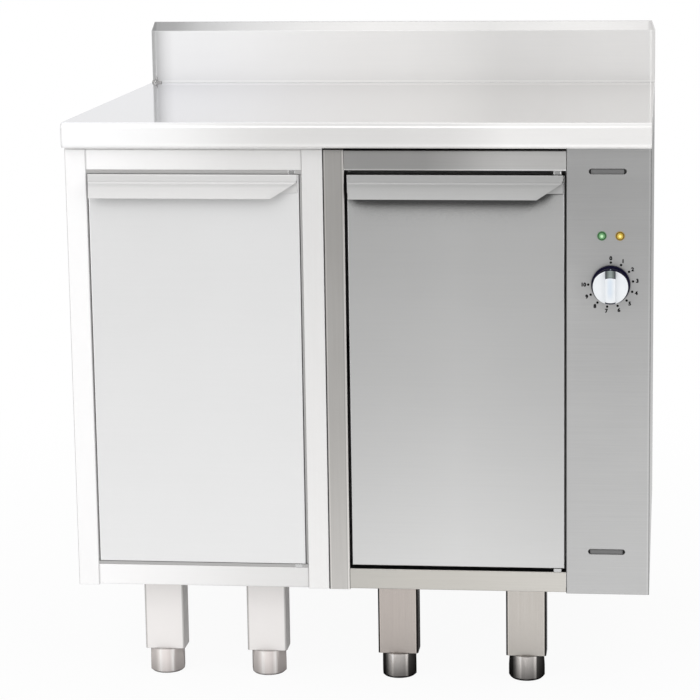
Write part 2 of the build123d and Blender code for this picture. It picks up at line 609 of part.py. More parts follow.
GLAND_BORE = 5.0
GLAND_Y = (CARCASS_BACK - 14.0, CARCASS_BACK + 18.0)
GLAND_HEXAGON = (13.5, 8.0)  # radius to the corners, and thickness
GLAND_DOME_RADIUS = 10.5
GLAND_NUT = (13.0, 5.0)
GLAND_NUT_GAP = 0.5
with BuildPart() as cable_gland:
    hexagon_end = CARCASS_BACK + GLAND_HEXAGON[1]
    thread = (GLAND_Y[0], hexagon_end)
    dome = (hexagon_end, GLAND_Y[1])
    nut_y = CARCASS_BACK - SHEET - GLAND_NUT_GAP - GLAND_NUT[1] / 2
    rod(GLAND_X, sum(thread) / 2, GLAND_Z, GLAND_THREAD_RADIUS, thread[1] - thread[0], "y")
    with BuildSketch(Plane.XZ.offset(-CARCASS_BACK)):
        with Locations((GLAND_X, GLAND_Z)):
            RegularPolygon(GLAND_HEXAGON[0], 6)
    extrude(amount=-GLAND_HEXAGON[1])
    rod(GLAND_X, sum(dome) / 2, GLAND_Z, GLAND_DOME_RADIUS, dome[1] - dome[0], "y")
    rod(GLAND_X, nut_y, GLAND_Z, *GLAND_NUT, "y")
    rod(GLAND_X, CARCASS_BACK, GLAND_Z, GLAND_BORE, 3 * (GLAND_Y[1] - GLAND_Y[0]), "y", Mode.SUBTRACT)
save(cable_gland, "cable_gland")

LOOM_RADIUS = 4.0
LOOM_BENDS = (60.0, 60.0, 60.0, 200.0)
with BuildPart() as wiring_loom:
    loom_start = (GLAND_X, back_y[0] - TERMINAL_BLOCK[1] / 2, TERMINAL_BLOCK_Z + TERMINAL_BLOCK[2] / 2)
    loom_end_z = KNOB_Z - 14.0
    with BuildLine() as loom_path:
        FilletPolyline(
            loom_start,
            (GLAND_X, loom_start[1], 470.0),
            (GLAND_X, 150.0, 560.0),
            (GLAND_X, -60.0, 620.0),
            (GLAND_X, -200.0, loom_end_z),
            (GLAND_X, THERMOSTAT_REAR, loom_end_z),
            radius=LOOM_BENDS,
        )
    with BuildSketch(Plane(loom_start, z_dir=(0, 0, 1))):
        Circle(LOOM_RADIUS)
    sweep(path=loom_path.wires()[0])
save(wiring_loom, "wiring_loom")

# ---------------------------------------------------------------- knob
SKIRT_Y = (FRONT - 1.0, FRONT - 7.0)  # rear and front
SKIRT_RIM = 2.0  # straight part of the rim
SKIRT_BEVEL = 1.6
CAP_FACE_Y = FRONT - 21.0
CAP_RADIUS = 27.0
CAP_EDGE = 2.0
GRIP_BAR_WIDTH = 15.5
GRIP_BAR_EDGE = 1.5
GRIP_BAR_INSET = 1.0  # from the cap's rim to the bar's ends
POINTER = (13.6, 11.5)  # width and height of the pointer insert
POINTER_GAP = 0.1
POINTER_REAR_Y = FRONT - 15.0

with BuildPart() as knob_spindle:
    spindle_y = (FRONT - 17.0, BRACKET_Y + SHEET + SPINDLE_SOCKET - 2.0)
    rod(KNOB_X, sum(spindle_y) / 2, KNOB_Z, SPINDLE_RADIUS, spindle_y[1] - spindle_y[0], "y")
save(knob_spindle, "knob_spindle")

with BuildPart() as knob_skirt:
    with BuildSketch(Plane((KNOB_X, FRONT, KNOB_Z), x_dir=(1, 0, 0), z_dir=(0, 0, 1))):
        with BuildLine():
            rear, front = SKIRT_Y[0] - FRONT, SKIRT_Y[1] - FRONT
            Polyline(
                (0, rear),
                (KNOB_RADIUS, rear),
                (KNOB_RADIUS, rear - SKIRT_RIM),
                (KNOB_RADIUS - SKIRT_BEVEL, front),
                (0, front),
                close=True,
            )
        make_face()
    revolve(axis=Axis((KNOB_X, FRONT, KNOB_Z), (0, 1, 0)))
    rod(KNOB_X, FRONT, KNOB_Z, SPINDLE_RADIUS, 40.0, "y", Mode.SUBTRACT)
save(knob_skirt, "knob_skirt")

bar_end_z = KNOB_Z + CAP_RADIUS - GRIP_BAR_INSET
pointer_z = (bar_end_z - POINTER[1], bar_end_z)
with BuildPart() as knob_cap:
    cap_depth = SKIRT_Y[1] - CAP_FACE_Y
    rod(KNOB_X, SKIRT_Y[1] - cap_depth / 2, KNOB_Z, CAP_RADIUS, cap_depth, "y")
    fillet(knob_cap.edges().group_by(Axis.Y)[0], CAP_EDGE)
    block(
        (KNOB_X - GRIP_BAR_WIDTH / 2, KNOB_X + GRIP_BAR_WIDTH / 2),
        (FRONT - KNOB_PROJECTION, CAP_FACE_Y + 1.0),
        (KNOB_Z - CAP_RADIUS + GRIP_BAR_INSET, bar_end_z),
    )
    bar_edges = knob_cap.edges().filter_by(Axis.Z).group_by(Axis.Y)[0]
    fillet(bar_edges, GRIP_BAR_EDGE)
    block(
        (KNOB_X - POINTER[0] / 2, KNOB_X + POINTER[0] / 2),
        (FRONT - KNOB_PROJECTION - 1.0, POINTER_REAR_Y),
        (pointer_z[0], pointer_z[1] + 3.0),
        Mode.SUBTRACT,
    )
    rod(KNOB_X, FRONT - 12.0, KNOB_Z, SPINDLE_RADIUS, 10.0, "y", Mode.SUBTRACT)
save(knob_cap, "knob_cap")

with BuildPart() as knob_pointer:
    block(
        (KNOB_X - POINTER[0] / 2 + POINTER_GAP, KNOB_X + POINTER[0] / 2 - POINTER_GAP),
        (FRONT - KNOB_PROJECTION, POINTER_REAR_Y),
        (pointer_z[0] + POINTER_GAP, pointer_z[1]),
    )
save(knob_pointer, "knob_pointer")

# ---------------------------------------------------------------- door fittings on the carcass
BUSH_WIDTH = 14.0
BUSH_CORNER = 3.5
BUSH_FRONT = FRONT + 0.3
BUSH_Z = ((DOOR_Z[1] + 1.0, TOP_RAIL_Z[0]), (BOTTOM_RAIL_Z[1], DOOR_Z[0] - 0.3))
with BuildPart() as hinge_bushes:
    for door_x in (LEFT_DOOR_X, RIGHT_DOOR_X):
        pivot_x, pivot_y = pivot_of(door_x)
        for z in BUSH_Z:
            with BuildSketch(Plane.XY.offset(z[0])):
                with Locations((pivot_x, BUSH_FRONT + BUSH_WIDTH / 2)):
                    RectangleRounded(BUSH_WIDTH, BUSH_WIDTH, BUSH_CORNER)
                with Locations((pivot_x, pivot_y)):
                    Circle(PIN_RADIUS + RUNNING_CLEARANCE, mode=Mode.SUBTRACT)
            extrude(amount=z[1] - z[0])
save(hinge_bushes, "hinge_bushes")

MAGNET_Z = (480.0, 560.0)
MAGNET_GAP = 0.5
magnet_y = (FRONT + DOOR_THICKNESS + MAGNET_GAP, FRONT + DOOR_THICKNESS + GASKET_DEPTH)
with BuildPart() as door_magnets:
    for door_x, post_x in ((LEFT_DOOR_X, cupboard_post_x[0]), (RIGHT_DOOR_X, hot_post_x)):
        block((post_x[1], door_x[0] + GASKET_INSET - MAGNET_GAP), magnet_y, MAGNET_Z)
save(door_magnets, "door_magnets")

# ---------------------------------------------------------------- doors
PIN_PLATE = (30.0, 16.0, 3.0)
PIN_POCKET_MARGIN = (1.0, 3.0)  # around a pin's plate, in plan and in height
PIN_REACH = {"top": 829.0, "bottom": 194.0}  # heights that the pins' free ends come to


def pin_plate_z():
    """Height ranges of the plates that carry the top and bottom hinge pins."""
    top = (DOOR_Z[1] - SHEET - PIN_PLATE[2], DOOR_Z[1] - SHEET)
    bottom = (DOOR_Z[0] + SHEET, DOOR_Z[0] + SHEET + PIN_PLATE[2])
    return top, bottom


def plate_span(door_x, clearance=0.0):
    """Plan ranges of a hinge-pin plate inside a door."""
    x = (door_x[1] - SHEET - JOINT - PIN_PLATE[0] - clearance, door_x[1] - SHEET - JOINT + clearance)
    y = (FRONT + SHEET + JOINT - clearance, FRONT + SHEET + JOINT + PIN_PLATE[1] + clearance)
    return x, y


for side, door_x in (("left", LEFT_DOOR_X), ("right", RIGHT_DOOR_X)):
    pivot_x, pivot_y = pivot_of(door_x)
    skin_y = (FRONT, FRONT + DOOR_THICKNESS - SHEET)
    inner_x = (door_x[0] + SHEET, door_x[1] - SHEET)
    inner_z = (DOOR_Z[0] + SHEET, DOOR_Z[1] - SHEET)

    with BuildPart() as door_skin:
        block(door_x, skin_y, DOOR_Z)
        front_face = door_skin.faces().sort_by(Axis.Y)[0]
        fillet(front_face.edges(), DOOR_BEND)
        block(inner_x, (FRONT + SHEET, skin_y[1]), inner_z, Mode.SUBTRACT)
        pin_line = 2 * (DOOR_Z[1] - DOOR_Z[0])
        rod(pivot_x, pivot_y, sum(DOOR_Z) / 2, PIN_RADIUS, pin_line, "z", Mode.SUBTRACT)
    save(door_skin, f"{side}_door_skin")

    with BuildPart() as door_liner:
        block(door_x, (skin_y[1], skin_y[1] + SHEET), DOOR_Z)
    save(door_liner, f"{side}_door_liner")

    with BuildPart() as door_core:
        block(
            (inner_x[0] + JOINT, inner_x[1] - JOINT),
            (FRONT + SHEET + JOINT, skin_y[1] - JOINT),
            (inner_z[0] + JOINT, inner_z[1] - JOINT),
        )
        pocket_x, pocket_y = plate_span(door_x, PIN_POCKET_MARGIN[0])
        for z in pin_plate_z():
            pocket_z = (z[0] - PIN_POCKET_MARGIN[1], z[1] + PIN_POCKET_MARGIN[1])
            block(pocket_x, pocket_y, pocket_z, Mode.SUBTRACT)
    save(door_core, f"{side}_door_core")

    with BuildPart() as door_pins:
        span_x, span_y = plate_span(door_x)
        for end, z in zip(("top", "bottom"), pin_plate_z()):
            block(span_x, span_y, z)
            middle = sum(z) / 2
            rod(
                pivot_x, pivot_y, (middle + PIN_REACH[end]) / 2,
                PIN_RADIUS, abs(PIN_REACH[end] - middle), "z",
            )
    save(door_pins, f"{side}_door_pins")

    with BuildPart() as door_grip:
        # Folded strip: flange on the door, band folded flat over it, then a lip that flares forward.
        grip_x = (door_x[0] + GRIP_INSET[0], door_x[1] - GRIP_INSET[1])
        rise = GRIP_FOLD_Z - GRIP_LIP_Z
        reach = GRIP_PROJECTION - 2 * SHEET
        slope = math.hypot(rise, reach)
        inner_lip = (
            -GRIP_PROJECTION + SHEET * rise / slope,
            GRIP_LIP_Z - SHEET * reach / slope,
        )
        inner_fold_z = inner_lip[1] + (-SHEET - inner_lip[0]) * rise / reach
        with BuildSketch(Plane((grip_x[0], FRONT, 0), x_dir=(0, 1, 0), z_dir=(1, 0, 0))):
            with BuildLine():
                Polyline(
                    (0, GRIP_FLANGE_BOTTOM_Z),
                    (0, DOOR_Z[1]),
                    (-2 * SHEET, DOOR_Z[1]),
                    (-2 * SHEET, GRIP_FOLD_Z),
                    (-GRIP_PROJECTION, GRIP_LIP_Z),
                    inner_lip,
                    (-SHEET, inner_fold_z),
                    (-SHEET, GRIP_FLANGE_BOTTOM_Z),
                    close=True,
                )
            make_face()
        extrude(amount=grip_x[1] - grip_x[0])
        top_edge = door_grip.edges().filter_by(Axis.X).group_by(Axis.Z)[-1].sort_by(Axis.Y)[0]
        fillet(top_edge, SHEET)
        # The lip's ends are cut away on a slant, the right one more, so that it clears its neighbour
        # when the door opens.
        cut_z = (GRIP_LIP_Z - 0.8, GRIP_FOLD_Z + 0.9)  # a little beyond the lip, below and above
        below = cut_z[0] - GRIP_PROJECTION
        for end, cut in ((grip_x[0], GRIP_LEFT_CUT), (grip_x[1], -GRIP_CUT)):
            beyond = end - math.copysign(GRIP_PROJECTION, cut)
            with BuildSketch(Plane.XZ.offset(-FRONT + SHEET)):
                with BuildLine():
                    Polyline(
                        (end, cut_z[1]),
                        (end + cut, cut_z[0]),
                        (end + cut, below),
                        (beyond, below),
                        (beyond, cut_z[1]),
                        close=True,
                    )
                make_face()
            extrude(amount=2 * GRIP_PROJECTION, mode=Mode.SUBTRACT)
    save(door_grip, f"{side}_door_grip")

with BuildPart() as door_gasket:
    gasket_y = (FRONT + DOOR_THICKNESS, FRONT + DOOR_THICKNESS + GASKET_DEPTH)
    outer_x = (RIGHT_DOOR_X[0] + GASKET_INSET, RIGHT_DOOR_X[1] - GASKET_INSET)
    outer_z = (DOOR_Z[0] + GASKET_INSET, DOOR_Z[1] - GASKET_INSET)
    block(outer_x, gasket_y, outer_z)
    block(
        (outer_x[0] + GASKET_WIDTH, outer_x[1] - GASKET_WIDTH),
        gasket_y,
        (outer_z[0] + GASKET_WIDTH, outer_z[1] - GASKET_WIDTH),
        Mode.SUBTRACT,
    )
save(door_gasket, "right_door_gasket")

# ---------------------------------------------------------------- legs and feet
LEG_PLATE = (90.0, 66.0, 3.0)
LEG_TOP_Z = FLOOR_Z - SHEET - LEG_PLATE[2]
SOCKET_THICKNESS = 12.0
STEM_CLEARANCE = 0.05

with BuildPart() as leg_tubes:
    for row, number, x, y in corner_legs():
        with BuildSketch(Plane.XY.offset(LEG_BOTTOM_Z)):
            with Locations((x, y)):
                RectangleRounded(LEG_WIDTH, LEG_DEPTH, LEG_CORNER)
                RectangleRounded(
                    LEG_WIDTH - 2 * LEG_WALL,
                    LEG_DEPTH - 2 * LEG_WALL,
                    LEG_CORNER - LEG_WALL,
                    mode=Mode.SUBTRACT,
                )
        extrude(amount=LEG_TOP_Z - LEG_BOTTOM_Z)
        # Threaded block welded into the bottom of the tube.
        with BuildSketch(Plane.XY.offset(LEG_BOTTOM_Z)):
            with Locations((x, y)):
                RectangleRounded(LEG_WIDTH - 2 * LEG_WALL, LEG_DEPTH - 2 * LEG_WALL, LEG_CORNER - LEG_WALL)
                Circle(STEM_RADIUS + STEM_CLEARANCE, mode=Mode.SUBTRACT)
        extrude(amount=SOCKET_THICKNESS)
save(leg_tubes, "leg_tubes")

with BuildPart() as leg_plates:
    for row, number, x, y in corner_legs():
        block(
            (x - LEG_PLATE[0] / 2, x + LEG_PLATE[0] / 2),
            (y - LEG_PLATE[1] / 2, y + LEG_PLATE[1] / 2),
            (LEG_TOP_Z, LEG_TOP_Z + LEG_PLATE[2]),
        )
save(leg_plates, "leg_plates")

FOOT_GAP = 0.3
FOOT_HEIGHT = LEG_BOTTOM_Z - FOOT_GAP
OCTAGON_HALF_STEP = 22.5  # degrees from an octagon's corner to the middle of its side
FOOT_TOP_RADIUS = 27.4
FOOT_SHOULDER_Z = 20.0
FOOT_CHAMFER = (4.0, 3.6)  # inwards and upwards

for row, number, x, y in corner_legs():
    with BuildPart() as foot:
        with BuildSketch(Plane.XY):
            turn = FOOT_TURN[row][number - 1] + OCTAGON_HALF_STEP
            with Locations(Location((x, y, 0), (0, 0, turn))):
                RegularPolygon(FOOT_RADIUS, 8)
        extrude(amount=FOOT_HEIGHT)
        # The turned envelope rounds off the octagon's corners above and below.
        with BuildSketch(Plane((x, y, 0), x_dir=(1, 0, 0), z_dir=(0, -1, 0))):
            with BuildLine():
                Polyline(
                    (0, 0),
                    (FOOT_RADIUS - FOOT_CHAMFER[0], 0),
                    (FOOT_RADIUS, FOOT_CHAMFER[1]),
                    (FOOT_RADIUS, FOOT_SHOULDER_Z),
                    (FOOT_TOP_RADIUS, FOOT_HEIGHT),
                    (0, FOOT_HEIGHT),
                    close=True,
                )
            make_face()
        revolve(axis=Axis((x, y, 0), (0, 0, 1)), mode=Mode.INTERSECT)
        rod(x, y, FOOT_HEIGHT + STEM_LENGTH / 2, STEM_RADIUS, STEM_LENGTH, "z")
    save(foot, f"foot_{row}_{number}")
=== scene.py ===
import math

import bmesh
import bpy
import numpy as np
from mathutils import Matrix, Vector


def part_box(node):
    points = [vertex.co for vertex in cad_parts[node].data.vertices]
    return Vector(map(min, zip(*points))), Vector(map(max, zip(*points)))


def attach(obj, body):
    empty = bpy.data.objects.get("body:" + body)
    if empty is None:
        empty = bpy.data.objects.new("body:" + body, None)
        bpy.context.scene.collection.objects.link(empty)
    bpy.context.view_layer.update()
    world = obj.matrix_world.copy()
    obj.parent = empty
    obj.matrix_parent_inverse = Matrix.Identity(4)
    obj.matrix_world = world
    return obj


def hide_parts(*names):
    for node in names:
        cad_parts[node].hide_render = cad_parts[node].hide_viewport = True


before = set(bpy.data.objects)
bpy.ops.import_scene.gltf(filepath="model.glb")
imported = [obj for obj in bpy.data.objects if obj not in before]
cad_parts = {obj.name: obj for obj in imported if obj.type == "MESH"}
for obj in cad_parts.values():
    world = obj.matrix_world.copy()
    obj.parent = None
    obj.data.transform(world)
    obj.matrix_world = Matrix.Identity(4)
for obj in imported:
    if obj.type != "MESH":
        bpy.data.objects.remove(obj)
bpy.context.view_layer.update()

# Screw feet. Eight octagonal feet, turned and milled from stainless bar and buffed, on M16 stems.
# Each screws up into the socket welded in its leg, which levels the cabinet.


def feed(tree, node, inputs):
    """Gives each named input of a node its value, or links it to the socket that feeds it."""
    for name, value in inputs.items():
        if isinstance(value, bpy.types.NodeSocket):
            tree.links.new(value, node.inputs[name])
        else:
            node.inputs[name].default_value = value


def add_node(tree, kind, inputs=None, **settings):
    """A new shader node of a kind, with its settings made before its inputs are fed."""
    node = tree.nodes.new("ShaderNode" + kind)
    for setting, value in settings.items():
        setattr(node, setting, value)
    feed(tree, node, inputs or {})
    return node


def new_group(name, inputs, outputs):
    """A node group with its sockets, the values that come into it and the sockets that its results go to."""
    group = bpy.data.node_groups.new(name, "ShaderNodeTree")
    for in_out, sockets in (("INPUT", inputs), ("OUTPUT", outputs)):
        for socket, kind in sockets.items():
            group.interface.new_socket(socket, in_out=in_out, socket_type="NodeSocket" + kind)
    return group, group.nodes.new("NodeGroupInput").outputs, group.nodes.new("NodeGroupOutput")


def brushed_grain():
    """Node group: noise on stretched Object coordinates is the grain, and a slow noise is the drift."""
    group, given, results = new_group(
        "brushed_grain", {"Stretch": "Vector", "Drift Scale": "Vector"}, {"Grain": "Float", "Drift": "Float"}
    )
    place = add_node(group, "TexCoord").outputs["Object"]
    for socket, name, detail, rough in (("Stretch", "Grain", 3.0, 0.65), ("Drift Scale", "Drift", 2.0, 0.5)):
        scaled = add_node(group, "VectorMath", {0: place, 1: given[socket]}, operation="MULTIPLY").outputs[0]
        noise = add_node(
            group, "TexNoise", {"Vector": scaled, "Scale": 1.0, "Detail": detail, "Roughness": rough}
        )
        feed(group, results, {name: noise.outputs["Fac"]})
    return group


def worn_edges():
    """Node group: how far a rounded-over normal leans from the face's own marks a piece's edges, where
    painted edge tones go.
    """
    group, given, results = new_group(
        "worn_edges", {"Radius": "Float"}, {"Edge": "Float", "Rounded Normal": "Vector"}
    )
    rounded = add_node(group, "Bevel", {"Radius": given["Radius"]}, samples=4).outputs["Normal"]
    own = add_node(group, "NewGeometry").outputs["Normal"]
    lean = add_node(group, "VectorMath", {0: rounded, 1: own}, operation="DOT_PRODUCT").outputs["Value"]
    mask = add_node(group, "MapRange", {"Value": lean, "From Min": 0.995, "From Max": 0.90})
    feed(group, results, {"Edge": mask.outputs["Result"], "Rounded Normal": rounded})
    return group


SHADE_INPUTS = ("Reach", "Shut", "Wide", "Least")


def close_shade():
    """Node group: open sky within a short reach of the surface, from Least where the share of open sky
    is Shut to 1 where it is Wide. Multiplied into a colour, it is painted shade."""
    group, given, results = new_group("close_shade", dict.fromkeys(SHADE_INPUTS, "Float"), {"Open": "Float"})
    sky = add_node(group, "AmbientOcclusion", {"Distance": given["Reach"]}, samples=8).outputs["AO"]
    spread = {"From Min": given["Shut"], "From Max": given["Wide"], "To Min": given["Least"]}
    lift = add_node(group, "MapRange", {"Value": sky, **spread})
    feed(group, results, {"Open": lift.outputs["Result"]})
    return group


GRAIN, EDGES, SHADE = brushed_grain(), worn_edges(), close_shade()


def new_material(name):
    """A material made of nodes, its tree and its main shader."""
    material = bpy.data.materials.new(name)
    material.use_nodes = True
    return material, material.node_tree, material.node_tree.nodes["Principled BSDF"]


def mix_colour(tree, first, second, share, blend="MIX"):
    """Two colours mixed by a share. A colour is three numbers or a socket."""
    first, second = ((*colour, 1.0) if isinstance(colour, tuple) else colour for colour in (first, second))
    mixed = add_node(
        tree, "Mix", {"Factor": share, "A": first, "B": second}, data_type="RGBA", blend_type=blend
    )
    return mixed.outputs["Result"]


def place_share(tree, axis, low, high, interpolation="LINEAR"):
    """How far a point lies from one place to another along an axis of its piece's coordinates, 0 to 1."""
    parts = add_node(tree, "SeparateXYZ", {0: add_node(tree, "TexCoord").outputs["Object"]})
    span = {"Value": parts.outputs[axis], "From Min": low, "From Max": high}
    return add_node(tree, "MapRange", span, interpolation_type=interpolation).outputs["Result"]


SLOWEST_DRIFT, POLISH_SPREAD, GRAIN_DEPTH = 7.0, 0.05, 0.0004


def steel(
    name, dark, light, edge, metallic, roughness, stretch, bump=0.04, radius=0.0009,
    shade=(0.03, 0.0, 1.0, 0.55), edge_dulling=0.0, left=None, shine=0.5,
):
    """Brushed sheet: the grain mixes a dark and a light tone, roughness follows the drift, and edges take
    their own tone, a painted highlight (painted shade where that tone is darker, as on the control panel),
    and lose a given share of the metal's mirror (the edge dulling) so that the painted tone shows. Shade is
    the close shade's reach, shut, wide and least; the colour is multiplied by it as painted shade. Left is
    (tone, metallic, from x, to x): the finish turns from those to its own between the two places."""
    material, tree, shader = new_material(name)
    drift_scale = tuple(min(axis, SLOWEST_DRIFT) for axis in stretch)
    directions = {"Stretch": stretch, "Drift Scale": drift_scale}
    grain = add_node(tree, "Group", directions, node_tree=GRAIN).outputs
    edges = add_node(tree, "Group", {"Radius": radius}, node_tree=EDGES).outputs
    open_sky = add_node(tree, "Group", dict(zip(SHADE_INPUTS, shade)), node_tree=SHADE).outputs["Open"]
    both = add_node(tree, "Math", {0: grain["Grain"], 1: grain["Drift"]}, operation="ADD").outputs[0]
    half = add_node(tree, "Math", {0: both, 1: 0.5}, operation="MULTIPLY").outputs[0]
    finish = mix_colour(tree, dark, light, half)
    full_metal = metallic
    if left:
        left_tone, left_metallic, left_x, own_x = left
        turn = place_share(tree, "X", left_x, own_x, "SMOOTHSTEP")
        finish = mix_colour(tree, left_tone, finish, turn)
        duller = add_node(tree, "MapRange", {"Value": turn, "To Min": left_metallic, "To Max": metallic})
        full_metal = duller.outputs["Result"]
    # Edges take the edge tone: a painted highlight on most finishes, and painted shade on the control panel,
    # whose edge tone is dark.
    edge_painted = mix_colour(tree, finish, edge, edges["Edge"])
    mirror = add_node(
        tree, "MapRange", {"Value": edges["Edge"], "To Min": full_metal, "To Max": metallic * (1 - edge_dulling)}
    )
    spread = {"To Min": roughness - POLISH_SPREAD, "To Max": roughness + POLISH_SPREAD}
    polish = add_node(tree, "MapRange", {"Value": grain["Drift"], **spread})
    relief = add_node(tree, "Bump", {"Strength": bump, "Distance": GRAIN_DEPTH, "Height": grain["Grain"]})
    feed(tree, relief, {"Normal": edges["Rounded Normal"]})
    # The base colour is multiplied by the close shade: painted shade in hollows, gaps and under overhangs.
    surface = {
        "Base Color": mix_colour(tree, edge_painted, open_sky, 1.0, "MULTIPLY"),
        "Metallic": mirror.outputs["Result"],
        "Roughness": polish.outputs["Result"],
        "Normal": relief.outputs["Normal"],
        "Specular IOR Level": shine,
    }
    feed(tree, shader, surface)
    return material


def level_ramp(holder, source, stops):
    """A ramp over the values of a socket, in the tree of a material or of the world. A stop is a position
    and a level or colour."""
    ramp = add_node(holder.node_tree, "ValToRGB", {"Fac": source})
    elements = ramp.color_ramp.elements
    for index, (position, level) in enumerate(stops):
        stop = elements[index] if index < 2 else elements.new(1.0)
        stop.position = position
        stop.color = (*level, 1.0) if isinstance(level, tuple) else (level, level, level, 1.0)
    return ramp.outputs["Color"]


def place_ramp(material, axis, low, high, stops):
    """A ramp of levels along one axis of a piece's own coordinates, from one place to another."""
    return level_ramp(material, place_share(material.node_tree, axis, low, high), stops)


def multiply_tone(material, levels, where=1.0):
    """Multiplies a finish's own colour by the levels of a socket, all over or only where a mask is light."""
    tree = material.node_tree
    colour = tree.nodes["Principled BSDF"].inputs["Base Color"]
    tree.links.new(mix_colour(tree, colour.links[0].from_socket, levels, where, "MULTIPLY"), colour)


def tone_along(material, axis, low, high, stops, where=1.0):
    """Multiplies a finish's own colour by a ramp along one axis, all over or where a mask is light."""
    multiply_tone(material, place_ramp(material, axis, low, high, stops), where)


def turn_value(material, name, where, value):
    """Turns a linked value of the shader to another one where a mask is light."""
    tree = material.node_tree
    socket = tree.nodes["Principled BSDF"].inputs[name]
    turned = add_node(tree, "Mix", {"Factor": where, "A": socket.links[0].from_socket, "B": value})
    tree.links.new(turned.outputs["Result"], socket)


def wear(material, *names):
    """Gives a material to every slot of the named nodes."""
    for name in names:
        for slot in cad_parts[name].material_slots:
            slot.material = material


FOOT_GRAIN, FOOT_EDGE, FOOT_HEIGHT = (380.0, 380.0, 12.0), 0.0006, 0.040
# Painted reflections across each foot: its sides dark and bright bands on its front facets, for the dark
# surround and bright floor they mirror; on the two grey feet the side facets also lose their metal so the
# painted dark shows. Painted shade: each foot is darker towards its bottom edge.
GREY_FOOT_REFLECTIONS = (
    (0.0, 0.02), (0.13, 0.03), (0.20, 0.20), (0.28, 0.86), (0.355, 1.60), (0.385, 0.94), (0.55, 0.88),
    (0.70, 0.74), (0.76, 1.30), (0.80, 0.10), (1.0, 0.02),
)
PALE_FOOT_REFLECTIONS = (
    (0.0, (0.62, 0.59, 0.58)), (0.22, (0.64, 0.61, 0.60)), (0.32, (0.90, 0.87, 0.86)), (0.38, 1.12),
    (0.46, (1.02, 0.99, 0.98)), (0.55, (1.0, 0.96, 0.95)), (0.66, (0.86, 0.82, 0.81)), (0.74, 1.06),
    (0.80, (0.62, 0.58, 0.57)), (0.86, (0.58, 0.55, 0.54)), (1.0, (0.60, 0.57, 0.56)),
)
FOOT_REFLECTION_MATTE = ((0.0, 1.0), (0.18, 1.0), (0.30, 0.0), (0.77, 0.0), (0.80, 1.0), (1.0, 1.0))
for column in range(1, 5):
    foot_low, foot_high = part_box(f"foot_front_{column}")
    if column > 2:
        foot_steel = steel(
            f"foot_steel_{column}", (0.70, 0.66, 0.63), (0.93, 0.885, 0.855), (0.97, 0.94, 0.91), 0.75, 0.20,
            FOOT_GRAIN, radius=FOOT_EDGE, edge_dulling=0.3, shine=0.0,
        )
        matte_facets = place_ramp(foot_steel, "X", foot_low.x, foot_high.x, FOOT_REFLECTION_MATTE)
        turn_value(foot_steel, "Metallic", matte_facets, 0.0)
        sides, lowest, low_part = GREY_FOOT_REFLECTIONS, 0.03, 0.45
    else:
        foot_steel = steel(
            f"foot_steel_{column}", (0.90, 0.865, 0.845), (0.97, 0.94, 0.925), (0.98, 0.96, 0.95), 0.15, 0.24,
            FOOT_GRAIN, radius=FOOT_EDGE,
        )
        sides, lowest, low_part = PALE_FOOT_REFLECTIONS, 0.62, 0.92
    foot_bottom_shade = ((0.0, lowest), (0.075, lowest), (0.10, low_part), (0.6, (low_part + 1) / 2), (1.0, 1.0))
    tone_along(foot_steel, "X", foot_low.x, foot_high.x, sides)
    tone_along(foot_steel, "Z", 0.0, FOOT_HEIGHT, foot_bottom_shade)
    wear(foot_steel, f"foot_front_{column}", f"foot_rear_{column}")

# Legs. Eight lengths of 64 x 40 mm stainless tube with rounded corners, ground with a vertical grain.
# Each is welded to a 3 mm plate under the carcass floor and has a threaded socket at its lower end.


def facing(material):
    """The parts along X, Y and Z of a face's own normal."""
    tree = material.node_tree
    return add_node(tree, "SeparateXYZ", {0: add_node(tree, "TexCoord").outputs["Normal"]}).outputs


def side_ramp(material, stops):
    """A ramp of levels over how far a face turns to either side: the size of the normal's X."""
    aside = add_node(material.node_tree, "Math", {0: facing(material)["X"]}, operation="ABSOLUTE")
    return level_ramp(material, aside.outputs[0], stops)


def both_masks(material, first, second):
    """The product of two masks."""
    return add_node(material.node_tree, "Math", {0: first, 1: second}, operation="MULTIPLY").outputs[0]


RISING, FALLING = ((0.0, 0.0), (1.0, 1.0)), ((0.0, 1.0), (1.0, 0.0))
LEG_TURN_X, LEG_TINT_X = (-0.11, -0.06), (0.05, 0.25)
# Painted reflections on the legs: their sides darker and the rounded corners beside them lighter, for the
# dark surround and the shade under the cabinet that they mirror; on the grey legs the sides are nearly black
# and lose their metal so the painted dark shows.
GREY_LEG_REFLECTIONS = (
    (0.0, 1.0), (0.06, 1.0), (0.14, 1.30), (0.26, 1.20), (0.34, 0.03), (0.98, 0.02), (1.0, 0.05),
)
PALE_LEG_REFLECTIONS = ((0.0, 1.0), (0.08, 1.0), (0.13, 1.02), (0.20, 0.66), (0.98, 0.58), (1.0, 0.86))
LEG_REFLECTION_MATTE = ((0.0, 0.0), (0.26, 0.0), (0.34, 1.0), (1.0, 1.0))
GREY_LEG_TINTS = ((0.0, (0.90, 0.855, 0.835)), (1.0, (1.01, 1.0, 0.98)))
leg_steel = steel(
    "leg_steel", (0.57, 0.54, 0.51), (0.74, 0.71, 0.68), (0.90, 0.88, 0.86), 0.80, 0.21, (420.0, 420.0, 9.0),
    left=((0.975, 0.945, 0.93), 0.25, -0.10, -0.05), shine=0.05,
)
pale_legs = place_ramp(leg_steel, "X", *LEG_TURN_X, FALLING)
grey_legs = place_ramp(leg_steel, "X", *LEG_TURN_X, RISING)
multiply_tone(leg_steel, side_ramp(leg_steel, GREY_LEG_REFLECTIONS), grey_legs)
multiply_tone(leg_steel, side_ramp(leg_steel, PALE_LEG_REFLECTIONS), pale_legs)
matte_leg_sides = both_masks(leg_steel, side_ramp(leg_steel, LEG_REFLECTION_MATTE), grey_legs)
turn_value(leg_steel, "Metallic", matte_leg_sides, 0.0)
tone_along(leg_steel, "X", *LEG_TINT_X, GREY_LEG_TINTS, grey_legs)
